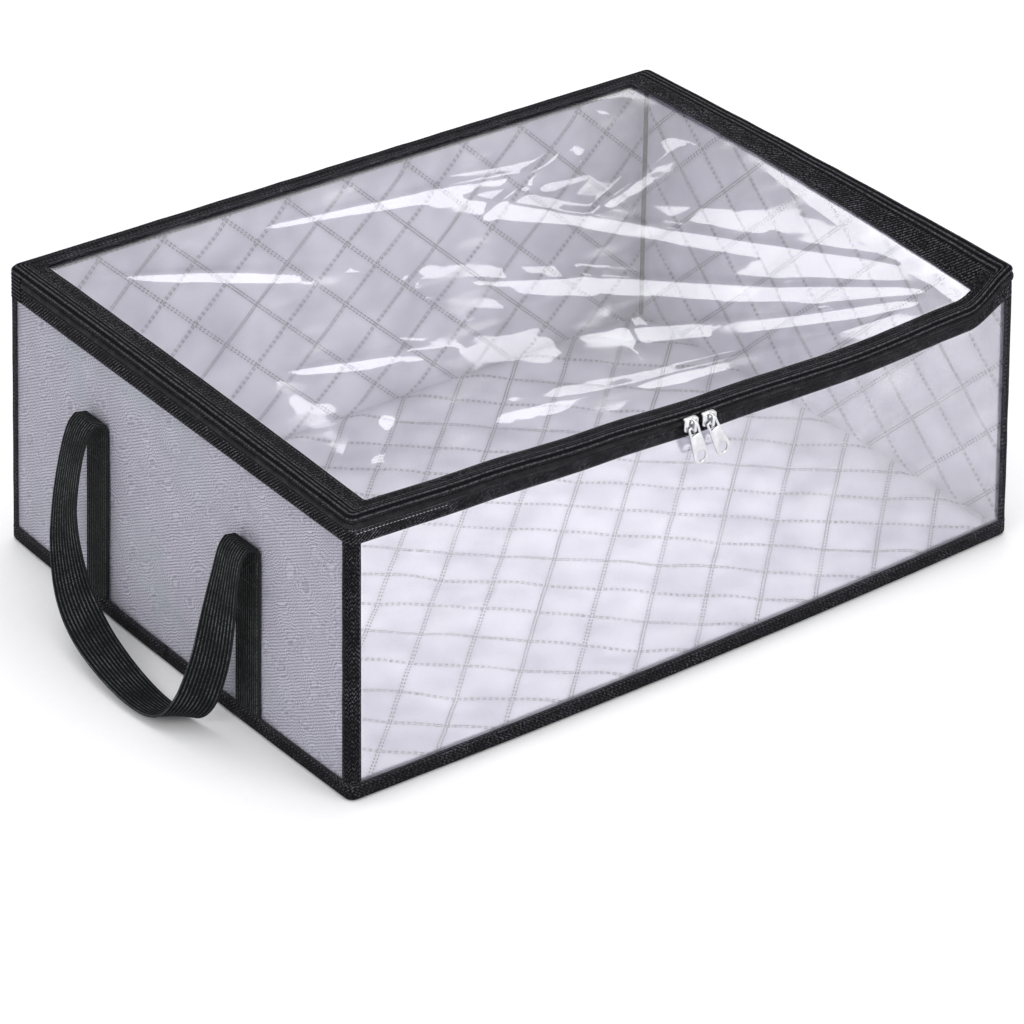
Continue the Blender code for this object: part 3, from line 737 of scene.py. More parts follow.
@dataclass(frozen=True)
class Thread:
    """Sewing thread."""

    colour: tuple[float, float, float] = (0.06, 0.058, 0.068)
    roughness: float = 0.6

    def material(self, name: str) -> Material:
        """Thread with a fine twist and a slight change of tone from stitch to stitch."""
        shade = Shade(name)
        solid = shade.solid()
        twist = shade.noise(solid, 0.5 * MM, 2)
        tone = shade.span(shade.noise(solid, 9 * MM, 2), 0.3, 0.7, 0.75, 1.3)
        colour = shade.mix(1.0, self.colour, tone, "MULTIPLY")
        return shade.finish(Base_Color=colour, Normal=shade.bump(twist, 0.1 * MM), Roughness=self.roughness)


@dataclass(frozen=True)
class CoilNylon:
    """Black nylon of the zip's coil."""

    colour: tuple[float, float, float] = (0.008, 0.008, 0.01)

    def material(self, name: str) -> Material:
        """Smooth moulded nylon with faint streaks and patches of dust."""
        shade = Shade(name)
        solid = shade.solid()
        dust = shade.span(shade.noise(solid, 6 * MM, 3), 0.45, 0.7, 0.0, 0.5)
        colour = shade.mix(dust, self.colour, (0.04, 0.04, 0.044))
        rough = shade.span(shade.noise(solid, 2 * MM, 2), 0.3, 0.7, 0.28, 0.45)
        relief = shade.bump(dust, 0.05 * MM)
        return shade.finish(Base_Color=colour, Roughness=rough, Normal=relief, Specular_IOR_Level=0.22)


@dataclass(frozen=True)
class ClearFilm:
    """Clear soft film: it mirrors a share of the light that grows at a slant, and lets the rest through."""

    shine: tuple[float, float, float] = (0.97, 0.97, 1.0)
    least: float = 0.015
    most: float = 0.38
    haze: float = 0.26

    def material(self, name: str) -> Material:
        """Film that is seen through face on and shines at a slant, milky where its cloth value says so."""
        shade = Shade(name)
        milky = shade.part(shade.cloth(), 2)
        slant = shade.node("ShaderNodeLayerWeight", {"Blend": 0.33}).outputs["Fresnel"]
        clear = shade.math("MULTIPLY_ADD", slant, self.most - self.least, self.least)
        alpha = shade.math("MULTIPLY_ADD", milky, self.haze, clear)
        rough = shade.math("MULTIPLY_ADD", milky, 0.5, 0.035)
        return shade.finish(Base_Color=self.shine, Metallic=1.0, Alpha=alpha, Roughness=rough)


@dataclass(frozen=True)
class BrightNickel:
    """Bright plated metal of the sliders and pull tabs."""

    colour: tuple[float, float, float] = (0.66, 0.66, 0.68)

    def material(self, name: str) -> Material:
        """Plated metal with fine scratches, faint smears and a tone that varies slightly."""
        shade = Shade(name)
        solid = shade.solid()
        scratches = shade.noise(shade.stretched(solid, (1.0, 1.0, 0.12)), 0.35 * MM, 3, 0.7)
        smears = shade.noise(solid, 4 * MM, 3)
        rough = shade.math("MULTIPLY_ADD", smears, 0.16, shade.math("MULTIPLY", scratches, 0.12))
        colour = shade.mix(shade.span(smears, 0.3, 0.7, 0.0, 0.4), self.colour, (0.42, 0.42, 0.45))
        relief = shade.bump(scratches, 0.02 * MM)
        return shade.finish(Base_Color=colour, Metallic=1.0, Roughness=rough, Normal=relief)


@dataclass(frozen=True)
class PaleFloor:
    """Plain pale studio floor."""

    colour: tuple[float, float, float] = (0.86, 0.86, 0.87)

    def material(self, name: str) -> Material:
        """Matt pale paint with hardly any grain."""
        shade = Shade(name)
        grain = shade.noise(shade.solid(), 5 * MM, 0)
        colour = shade.mix(shade.span(grain, 0.3, 0.7, 0.0, 0.1), self.colour, (0.8, 0.8, 0.81))
        return shade.finish(Base_Color=colour, Roughness=0.55)


@dataclass
class Finishes:
    """Every finish of the case, made once."""

    twill: Material = field(default_factory=lambda: HeatherTwill().material("heather_twill"))
    lining: Material = field(default_factory=lambda: QuiltedLining().material("quilted_lining"))
    binding: Material = field(default_factory=lambda: WovenTape().material("binding_tape"))
    # The border's twill, with a painted highlight on its ridges and painted shade in its grooves
    border: Material = field(
        default_factory=lambda: WovenTape(Lay.TWILL, fleck=0.5, pitch=1.9 * MM, painted_ridge_light=True).material("border_twill")
    )
    zip_tape: Material = field(
        default_factory=lambda: WovenTape(Lay.TWILL, pitch=1.6 * MM, fleck=0.35).material("zip_tape")
    )
    webbing: Material = field(
        default_factory=lambda: WovenTape(
            Lay.RIBBED, (0.0035, 0.0042, 0.0045), (0.24, 0.26, 0.26), 1.7 * MM, 0.42, 0.66
        ).material("handle_webbing")
    )
    coil: Material = field(default_factory=lambda: CoilNylon().material("coil_nylon"))
    film: Material = field(default_factory=lambda: ClearFilm().material("clear_film_soft"))
    metal: Material = field(default_factory=lambda: BrightNickel().material("bright_nickel"))
    dark_thread: Material = field(default_factory=lambda: Thread().material("dark_thread"))
    quilt_thread: Material = field(
        default_factory=lambda: Thread((0.045, 0.042, 0.055)).material("quilt_thread")
    )
    pale_thread: Material = field(default_factory=lambda: Thread((0.4, 0.4, 0.42)).material("pale_thread"))


def tape_on(case: SoftCase, route: Route, profile: TapeProfile, ring: bool = False, wave: float = 0.25 * MM) -> Draft:
    """Runs a tape along a route.

    Args:
        case: The case that the tape is sewn to.
        route: The stations that it passes.
        profile: Its cross-section.
        ring: Whether it meets itself.
        wave: How far the cloth strays out and in along its length.

    Returns:
        The draft of the tape.
    """
    outline, across, middle = profile.loop()
    along = route.along
    share = outline[:, 0][None, :, None]
    stray = ripple(along[:, None], across[None, :], 11, 42 * MM) * wave
    base = route.inner[:, None] * (1 - share) + route.place[:, None] * share
    flat = base + route.outward[:, None] * (outline[:, 1][None, :] - np.abs(stray))[..., None]
    height = np.broadcast_to(outline[:, 2], flat.shape[:2]) - np.abs(stray) * 0.5
    points = case.settle(np.concatenate([flat, height[..., None]], -1))
    shape = flat.shape[:2]
    cloth = np.stack(
        [
            np.broadcast_to(along[:, None], shape),
            np.broadcast_to(across[None, :], shape),
            np.broadcast_to(middle[None, :], shape),
        ],
        -1,
    )
    draft = Draft()
    draft.add_tape(points, cloth, ring)
    return draft


def stitch_route(
    draft: Draft, case: SoftCase, route: Route, place: tuple[float, float, float], pitch: float, size: Sequence[float]
) -> None:
    """Sews a row of stitches along a route.

    Args:
        draft: What the stitches are added to.
        case: The case that they are sewn to.
        route: The stations that the row passes.
        place: The row's share, out and z, as in a tape's profile.
        pitch: From one stitch to the next.
        size: The length, width and height of a stitch.
    """
    share, out, z = place
    flat = route.inner * (1 - share) + route.place * share + route.outward * out
    line = case.settle(np.column_stack([flat, np.full(len(flat), z)]))
    proud = case.settle(
        np.column_stack([flat + route.outward * (0.2 * MM if share == 1 else 0), np.full(len(flat), z + 0.05 * MM)])
    )
    sew_line(draft, line, proud - line if share == 1 else np.tile([0.0, 0.0, 1.0], (len(line), 1)), pitch, size)


def sew_line(draft: Draft, line: Array, outward: Array, pitch: float, size: Sequence[float]) -> None:
    """Sews stitches along a line of points.

    Args:
        draft: What the stitches are added to.
        line: The points that the row passes.
        outward: The direction away from the cloth at each.
        pitch: From one stitch to the next.
        size: The length, width and height of a stitch.
    """
    run = np.concatenate([[0.0], np.cumsum(np.linalg.norm(np.diff(line, axis=0), axis=1))])
    if run[-1] < 2 * pitch:
        return
    places = np.arange(pitch, run[-1] - pitch / 2, pitch)

    def at(values: Array, where: Array) -> Array:
        return np.stack([np.interp(where, run, column) for column in values.T], 1)

    along = at(line, np.minimum(places + pitch / 2, run[-1])) - at(line, places - pitch / 2)
    draft.add_stitches(at(line, places), along, at(outward, places), size)


@dataclass
class FabricPanels:
    """The two ends, the back and the floor: twill outside, quilted lining inside."""

    case: SoftCase
    finishes: Finishes
    thickness: float = 2.0 * MM
    diamond: float = DIAMOND
    puff: float = 2.0 * MM
    step: float = 3.4 * MM
    wall_bottom: float = 4.3 * MM
    wall_top: float = 188.3 * MM
    binding_under: float = 11 * MM
    lift_band: float = 30 * MM
    quilt_turn: float = math.radians(QUILT_TURN)

    def quilt_lines(self, u: Array, v: Array) -> tuple[Array, Array]:
        """How many quilting lines of each of the two directions lie before each place."""
        one = u * math.cos(self.quilt_turn) + v * math.sin(self.quilt_turn)
        two = u * math.cos(self.quilt_turn) - v * math.sin(self.quilt_turn)
        return one / self.diamond, two / self.diamond

    def swell(self, u: Array, v: Array) -> Array:
        """How full the quilting stands, from 0 on its lines to 1 in the middle of a diamond."""
        one, two = self.quilt_lines(u, v)
        return np.abs(np.sin(math.pi * one) * np.sin(math.pi * two)) ** 0.55

    def edge_fade(self, u: Array, v: Array, u_end: float, v_low: float, v_high: float) -> Array:
        """Falls to 0 at the sewn edges."""
        inside = np.minimum(u_end - np.abs(u), np.minimum(v - v_low, v_high - v))
        return smooth_step(inside / (9 * MM))

    def sew_quilt(self, place: "PanelPlace", u_end: float, v_low: float, v_high: float) -> Draft:
        """Sews the double rows of quilting over a panel.

        Args:
            place: Gives points on the panel's inner skin.
            u_end: Half the panel's length.
            v_low: Its lower edge.
            v_high: Its upper edge.

        Returns:
            The draft of all stitches.
        """
        draft = Draft()
        reach = (u_end + v_high - v_low) * 1.2
        run = np.arange(-reach, reach, 4 * MM)
        count = math.ceil(reach / self.diamond) + 1
        for sign in (1, -1):
            axis = np.array([math.cos(self.quilt_turn), sign * math.sin(self.quilt_turn)])
            side = np.array([-axis[1], axis[0]])
            for number in range(-count, count + 1):
                for shift in (-0.9 * MM, 0.9 * MM):
                    spots = axis * (number * self.diamond + shift) + side * run[:, None]
                    u, v = spots.T
                    keep = (np.abs(u) < u_end - 4 * MM) & (v > v_low + 4 * MM) & (v < v_high - 4 * MM)
                    if keep.sum() > 2:
                        line, outward = place.skin(u[keep], v[keep])
                        sew_line(draft, line, outward, 3.8 * MM, (2.3 * MM, 1.0 * MM, 0.45 * MM))
        return draft

    def build(self) -> dict[str, Piece]:
        """Builds the four panels with their quilting stitches.

        Returns:
            The panels by name.
        """
        made: dict[str, Piece] = {}
        half_x, half_y = self.case.half
        inset = 2.0 * MM
        reach_y = half_y - self.case.corner - self.case.gap
        reach_x = half_x - self.case.corner - self.case.gap
        for name, side, reach, slot in (
            ("left_end_panel", Side.LEFT, reach_y, "grey_fabric"),
            ("right_end_panel", Side.RIGHT, reach_y, "grey_fabric"),
            ("back_panel", Side.BACK, reach_x, "quilted_fabric"),
        ):
            axis = 0 if side.value[0] else 1
            depth = (half_x if axis == 0 else half_y) - inset
            place = PanelPlace(self, side, depth, reach)
            made[name] = place.wall(name, slot)
        made["base_panel"] = BasePlace(self).floor()
        return made


@dataclass
class PanelPlace:
    """One upright panel, laid out by how far along its side and how high a point is."""

    panels: FabricPanels
    side: Side
    depth: float
    reach: float

    def box_points(self, u: Array, v: Array, inward: Array) -> Array:
        """Points of the straight box at places on the panel, a distance inside its outer face."""
        axis = 0 if self.side.value[0] else 1
        points = np.empty((*np.broadcast(u, v).shape, 3))
        points[..., axis] = self.side.value[axis] * (self.depth - inward)
        points[..., 1 - axis] = u
        points[..., 2] = v
        return self.panels.case.settle(points)

    def fade(self, u: Array, v: Array) -> Array:
        """Falls to 0 at the panel's sewn edges."""
        return self.panels.edge_fade(u, v, self.reach, self.panels.wall_bottom, self.panels.wall_top)

    def sag(self, u: Array, v: Array) -> Array:
        """How far the whole panel strays inwards, in slow waves."""
        seed = 20 + list(Side).index(self.side)
        return (0.9 + ripple(u, v, seed, 150 * MM)) * 0.9 * MM * self.fade(u, v)

    def skin(self, u: Array, v: Array) -> tuple[Array, Array]:
        """Points just on the inner skin, and the direction into the case there."""
        swell = self.panels.swell(u, v) * self.panels.puff * self.fade(u, v)
        inward = self.panels.thickness + self.sag(u, v) + swell + 0.05 * MM
        outward = -np.array([*self.side.value, 0.0])
        return self.box_points(u, v, inward), np.tile(outward, (len(u), 1))

    def wall(self, name: str, slot: str) -> Piece:
        """Builds the panel and its stitches.

        Args:
            name: The panel's name, which is its solid's.
            slot: The slot for it, which is not used.

        Returns:
            The panel.
        """
        panels = self.panels
        count_u = math.ceil(2 * self.reach / panels.step)
        count_v = math.ceil((panels.wall_top - panels.wall_bottom) / panels.step)
        u = np.linspace(-self.reach, self.reach, count_u)[:, None]
        v = np.linspace(panels.wall_bottom, panels.wall_top, count_v)[None, :]
        sag, fade, swell = self.sag(u, v), self.fade(u, v), panels.swell(u, v)
        outer = self.box_points(u, v, sag)
        inner = self.box_points(u, v, sag + panels.thickness + swell * fade * panels.puff)
        full = np.broadcast_to(np.maximum(swell, 1 - fade), outer.shape[:2])
        cloth = np.stack([np.broadcast_to(u, outer.shape[:2]), np.broadcast_to(v, outer.shape[:2]), full], -1)
        draft = Draft()
        draft.add_sheet(outer, inner, cloth, (0, 1))
        piece = draft.build(name + "_cloth", [panels.finishes.twill, panels.finishes.lining])
        dress(piece, "case", slot, name)
        stitches = panels.sew_quilt(self, self.reach, panels.wall_bottom, panels.wall_top)
        sewn = stitches.build(name + "_quilting", [panels.finishes.quilt_thread])
        dress(sewn, "case", "quilted_fabric")
        return piece


@dataclass
class BasePlace:
    """The floor of the case, which sinks to the ground inside its binding."""

    panels: FabricPanels

    def height(self, x: Array, y: Array) -> Array:
        """How high the floor's underside lies."""
        half_x, half_y = self.panels.case.half
        flat = self.panels.binding_under + self.panels.case.gap
        inside = np.minimum(half_x - flat - np.abs(x), half_y - flat - np.abs(y))
        return (self.panels.case.tape + self.panels.case.gap) * (1 - smooth_step(inside / self.panels.lift_band))

    def fade(self, x: Array, y: Array) -> Array:
        """Falls to 0 at the floor's sewn edges."""
        half_x, half_y = self.panels.case.half
        inside = np.minimum(half_x - np.abs(x), half_y - np.abs(y)) - 3 * MM
        return smooth_step(inside / (12 * MM))

    def top(self, x: Array, y: Array) -> Array:
        """How high the floor's upper skin lies, with its quilting and slack."""
        slack = 0.8 * MM * (1 + ripple(x, y, 31, 90 * MM)) + 0.9 * MM * (1 + ripple(x, y, 32, 40 * MM))
        swell = self.panels.swell(x, y) * self.panels.puff * 1.15
        return self.height(x, y) + self.panels.thickness + (slack + swell) * self.fade(x, y)

    def skin(self, u: Array, v: Array) -> tuple[Array, Array]:
        """Points just on the upper skin, and the direction up."""
        points = self.panels.case.settle(np.stack([u, v, self.top(u, v) + 0.05 * MM], -1))
        return points, np.tile([0.0, 0.0, 1.0], (len(u), 1))

    def floor(self) -> Piece:
        """Builds the floor and its stitches, and returns the floor."""
        panels, case = self.panels, self.panels.case
        reach_x, reach_y = (half - 2.0 * MM for half in case.half)
        x = np.linspace(-reach_x, reach_x, math.ceil(2 * reach_x / (panels.step * 1.15)))[:, None]
        y = np.linspace(-reach_y, reach_y, math.ceil(2 * reach_y / (panels.step * 1.15)))[None, :]
        x, y = np.broadcast_arrays(x, y)
        top, low, swell, fade = self.top(x, y), self.height(x, y), panels.swell(x, y), self.fade(x, y)
        cut = case.corner * 0.45
        corner = (np.abs(x) > reach_x - 1e-9) & (np.abs(y) > reach_y - 1e-9)
        x, y = np.where(corner, x - np.copysign(cut, x), x), np.where(corner, y - np.copysign(cut, y), y)
        upper, lower = case.settle(np.stack([x, y, top], -1)), case.settle(np.stack([x, y, low], -1))
        cloth = np.stack([x, y, np.maximum(swell, 1 - fade)], -1)
        draft = Draft()
        draft.add_sheet(upper, lower, cloth, (0, 1))
        piece = draft.build("base_panel_cloth", [panels.finishes.lining, panels.finishes.twill])
        dress(piece, "case", "quilted_fabric", "base_panel")
        stitches = panels.sew_quilt(self, reach_x, -reach_y, reach_y)
        sewn = stitches.build("base_panel_quilting", [panels.finishes.quilt_thread])
        dress(sewn, "case", "quilted_fabric")
        return piece


@dataclass
class ClearWindows:
    """The clear lid and the clear front, with the creases of folded film."""

    case: SoftCase
    finishes: Finishes
    thickness: float = 0.5 * MM
    overlap: float = 6 * MM
    film_top: float = 197.8 * MM
    lid_dip: float = 5 * MM
    step: float = 2.6 * MM
    wall_inset: float = 2.0 * MM
    wall_bottom: float = 4.3 * MM
    wall_top: float = 188.3 * MM
    # Creases: start and end as shares of the film's length and width, half width, height
    lid_creases: tuple[tuple[float, float, float, float, float, float], ...] = (
        (0.97, 0.03, 0.46, 0.30, 13 * MM, 2.4 * MM),
        (0.98, 0.05, 0.40, 0.62, 17 * MM, 2.8 * MM),
        (0.99, 0.12, 0.55, 0.88, 15 * MM, 2.2 * MM),
        (0.96, 0.02, 0.25, 0.13, 11 * MM, 1.8 * MM),
        (0.30, 0.92, 0.80, 0.80, 12 * MM, 1.7 * MM),
        (0.04, 0.93, 0.36, 0.66, 14 * MM, 2.2 * MM),
        (0.03, 0.10, 0.30, 0.42, 15 * MM, 2.0 * MM),
        (0.10, 0.45, 0.34, 0.36, 12 * MM, 1.5 * MM),
        (0.52, 0.12, 0.62, 0.55, 10 * MM, 1.3 * MM),
        (0.70, 0.62, 0.95, 0.74, 13 * MM, 2.0 * MM),
        (0.58, 0.72, 0.92, 0.93, 12 * MM, 1.8 * MM),
    )
    front_creases: tuple[tuple[float, float, float, float, float, float], ...] = (
        (0.03, 0.86, 0.24, 0.70, 7 * MM, 0.9 * MM),
        (0.02, 0.60, 0.20, 0.52, 6 * MM, 0.7 * MM),
        (0.78, 0.30, 0.98, 0.14, 7 * MM, 1.0 * MM),
        (0.74, 0.62, 0.97, 0.80, 8 * MM, 1.1 * MM),
        (0.84, 0.44, 0.99, 0.50, 6 * MM, 0.8 * MM),
        (0.40, 0.90, 0.66, 0.84, 8 * MM, 0.8 * MM),
        (0.30, 0.16, 0.52, 0.10, 7 * MM, 0.7 * MM),
        (0.55, 0.50, 0.75, 0.56, 9 * MM, 0.7 * MM),
    )

    def crumple(self, u: Array, v: Array, size: tuple[float, float], creases: Sequence[Sequence[float]]) -> Array:
        """The height of the creases: flat flanks that meet in a soft ridge.

        Args:
            u: Shares of the film's length.
            v: Shares of its width.
            size: The film's length and width.
            creases: Rows of the crease table.

        Returns:
            The height at each place.
        """
        x, y = u * size[0], v * size[1]
        total = np.zeros(np.broadcast(x, y).shape)
        for start_u, start_v, end_u, end_v, half, height in creases:
            start = np.array([start_u * size[0], start_v * size[1]])
            run = np.array([end_u * size[0], end_v * size[1]]) - start
            length = math.hypot(*run)
            axis = run / length
            along = ((x - start[0]) * axis[0] + (y - start[1]) * axis[1]) / length
            off = (x - start[0]) * -axis[1] + (y - start[1]) * axis[0]
            wide = half * (0.45 + 1.1 * np.clip(along, 0, 1))
            ridge = np.sqrt(0.008 + np.clip(1 - np.abs(off) / wide, 0, 1) ** 2) - math.sqrt(0.008)
            total += height * ridge * np.sin(math.pi * np.clip(along, 0, 1)) ** 0.6
        return total

    def rubs(self, x: Array, y: Array, inside: Array, seed: int) -> Array:
        """How milky the film is: streaks along its length, and a bright line where it is sewn in.

        Args:
            x: Places along the film.
            y: Places across it.
            inside: How far inside its visible edge each place is.
            seed: Picks the streaks.

        Returns:
            From 0, clear, to 1, white.
        """
        streaks = np.clip(ripple(x * 0.4, y, seed, 30 * MM, 12) - 0.35, 0, 1) * 0.32
        flecks = np.clip(ripple(x * 0.6, y, seed + 1, 9 * MM, 14) - 0.9, 0, 1) * 0.25
        return streaks + flecks + 0.5 * (1 - smooth_step(inside / (3.2 * MM)))

    def lid(self) -> Piece:
        """Builds the clear lid and returns it."""
        left, front, right, back = self.case.window
        low_x, high_x = left - self.overlap, right + self.overlap
        low_y, high_y = front - self.overlap, back + self.overlap
        x = np.linspace(low_x, high_x, math.ceil((high_x - low_x) / self.step))[:, None]
        y = np.linspace(low_y, high_y, math.ceil((high_y - low_y) / self.step))[None, :]
        x, y = np.broadcast_arrays(x, y)
        u, v = (2 * x - left - right) / (right - left), (2 * y - front - back) / (back - front)
        dip = self.lid_dip * np.maximum(0, 1 - u * u) * np.maximum(0, 1 - v * v)
        inside = np.minimum(np.minimum(x - left, right - x), np.minimum(y - front, back - y))
        size = (right - left, back - front)
        folds = self.crumple((u + 1) / 2, (v + 1) / 2, size, self.lid_creases) * smooth_step(inside / (12 * MM))
        slack = ripple(x, y, 41, 170 * MM, 5, True) * 1.9 * MM + ripple(x, y, 42, 70 * MM, 5, True) * 0.45 * MM - 1.4 * MM
        z = self.film_top - dip + folds + slack * smooth_step(inside / (55 * MM))
        milky = self.rubs(x, y, inside, 43)
        upper = self.case.settle(np.stack([x, y, z], -1))
        lower = self.case.settle(np.stack([x, y, z - self.thickness], -1))
        draft = Draft()
        draft.add_sheet(upper, lower, np.stack([x, y, milky], -1))
        piece = draft.build("lid_window_film", [self.finishes.film])
        dress(piece, "case", "clear_film", "lid_window")
        return piece

    def front(self) -> Piece:
        """Builds the clear front and returns it."""
        half_x, half_y = self.case.half
        reach = half_x - self.case.corner - self.case.gap
        x = np.linspace(-reach, reach, math.ceil(2 * reach / self.step))[:, None]
        z = np.linspace(self.wall_bottom, self.wall_top, math.ceil((self.wall_top - self.wall_bottom) / self.step))[None]
        x, z = np.broadcast_arrays(x, z)
        height = self.wall_top - self.wall_bottom
        inside = np.minimum(reach - np.abs(x), np.minimum(z - self.wall_bottom, self.wall_top - z) - 7 * MM)
        folds = self.crumple((x / reach + 1) / 2, (z - self.wall_bottom) / height, (2 * reach, height), self.front_creases)
        folds = folds * smooth_step(inside / (9 * MM))
        slack = ripple(x, z, 51, 160 * MM, 5, True) * 1.3 * MM + ripple(x, z, 52, 60 * MM, 5, True) * 0.35 * MM
        y = -(half_y - self.wall_inset) - folds - slack * smooth_step(inside / (45 * MM)) + 0.15 * MM
        outer = self.case.settle(np.stack([x, y, z], -1))
        inner = self.case.settle(np.stack([x, y + self.thickness, z], -1))
        draft = Draft()
        draft.add_sheet(outer, inner, np.stack([x, z, self.rubs(x, z, inside - 1 * MM, 53)], -1))
        piece = draft.build("front_window_film", [self.finishes.film])
        dress(piece, "case", "clear_film", "front_window")
        return piece


@dataclass
class BoundEdges:
    """The tapes round the lower edge and up the four corners, with their stitching."""

    case: SoftCase
    finishes: Finishes
    base_height: float = 12 * MM
    base_under: float = 11 * MM
    corner_flap: float = 2 * MM
    band_bottom: float = 178.6 * MM
    step: float = 4.5 * MM

    def base(self) -> None:
        """Builds the binding that wraps the lower edge, with its row of stitches."""
        tape = self.case.tape
        inner = self.case.inset(self.base_under)
        half_y = self.case.half[1] - self.case.corner
        sides = [Side.LEFT, Side.FRONT, Side.RIGHT, Side.BACK, Side.LEFT]
        route = self.case.route(sides, 0.0, 0.0, inner, self.step)
        keep = len(route.place) - 1
        ring = Route(route.place[:keep], route.outward[:keep], route.inner[:keep])
        half = tape / 2
        bend = [(1.0, -half - 2 * MM * (1 - math.sin(a)), half + 2 * MM * (1 - math.cos(a))) for a in self.quarter()]
        rows = [(1.0, -half, self.base_height), *bend[::-1], (0.0, 0.0, half)]
        profile = TapeProfile(tuple(rows), tape, swell=0.0)
        draft = tape_on(self.case, ring, profile, ring=True, wave=0.2 * MM)
        piece = draft.build("base_binding_tape", [self.finishes.binding])
        dress(piece, "case", "black_binding", "base_binding")
        sewing = Draft()
        stitch_route(sewing, self.case, route, (1.0, 0.02 * MM, self.base_height - 1.8 * MM), 3.2 * MM, self.grain())
        sewn = sewing.build("base_binding_stitches", [self.finishes.dark_thread])
        dress(sewn, "case", "black_binding")
        log.debug("base ring of %d stations, corner at %.3f", keep, half_y)

    @staticmethod
    def quarter() -> list[float]:
        """Angles of a quarter turn, in small steps."""
        return [math.pi / 2 * step / 5 for step in range(6)]

    @staticmethod
    def grain() -> tuple[float, float, float]:
        """The length, width and height of one binding stitch."""
        return 2.2 * MM, 0.6 * MM, 0.32 * MM

    def corners(self) -> None:
        """Builds the four upright bindings, with stitches along both edges."""
        tape = self.case.tape
        low, high = self.base_height + self.case.gap, self.band_bottom - self.case.gap
        levels = np.linspace(low, high, 42)
        for name, first, second in (
            ("corner_binding_front_left", Side.LEFT, Side.FRONT),
            ("corner_binding_front_right", Side.RIGHT, Side.FRONT),
            ("corner_binding_back_left", Side.LEFT, Side.BACK),
            ("corner_binding_back_right", Side.RIGHT, Side.BACK),
        ):
            sign = np.array(first.value) + np.array(second.value)
            bend = self.case.bend(first, second, self.case.window, steps=8)
            reach = self.case.corner + self.corner_flap
            starts = sign * (np.array(self.case.half) - np.array([0, reach]))
            ends = sign * (np.array(self.case.half) - np.array([reach, 0]))
            ways = [np.array(side.value, float) for side in (first, second)]
            place = np.vstack([starts, bend.place, ends])
            outward = np.vstack([ways[0], bend.outward, ways[1]])
            run = np.concatenate([[0.0], np.cumsum(np.linalg.norm(np.diff(place, axis=0), axis=1))])
            inner_side = place - outward * tape
            edge_one = [place[0] - ways[0] * tape * 0.5 + (place[0] - place[1]) * 0.3]
            edge_two = [place[-1] - ways[1] * tape * 0.5 + (place[-1] - place[-2]) * 0.3]
            loop = np.vstack([place, edge_two, inner_side[::-1], edge_one])
            across = np.concatenate([run, run[-1:], run[::-1], [0.0]])
            stray = ripple(levels[:, None], across[None, :], len(name), 60 * MM) * 0.2 * MM
            flat = loop[None] - np.vstack([outward, ways[1], outward[::-1], ways[0]])[None] * np.abs(stray)[..., None]
            box = np.concatenate([flat, np.broadcast_to(levels[:, None, None], (*flat.shape[:2], 1))], -1)
            shape = flat.shape[:2]
            middle = np.minimum(across, run[-1] - across)
            parts = [levels[:, None], across[None, :], middle[None, :]]
            cloth = np.stack([np.broadcast_to(part, shape) for part in parts], -1)
            draft = Draft()
            draft.add_tape(self.case.settle(box), cloth)
            piece = draft.build(name + "_tape", [self.finishes.binding])
            dress(piece, "case", "black_binding", name)
            sewing = Draft()
            for point, way, other in ((place[0], ways[0], place[1]), (place[-1], ways[1], place[-2])):
                inwards = (other - point) / np.linalg.norm(other - point)
                spot = point + inwards * 1.1 * MM + way * 0.05 * MM
                line = self.case.settle(np.column_stack([np.tile(spot, (len(levels), 1)), levels]))
                sew_line(sewing, line, np.tile([*way, 0.0], (len(levels), 1)), 3.2 * MM, self.grain())
            sewn = sewing.build(name + "_stitches", [self.finishes.dark_thread])
            dress(sewn, "case", "black_binding")


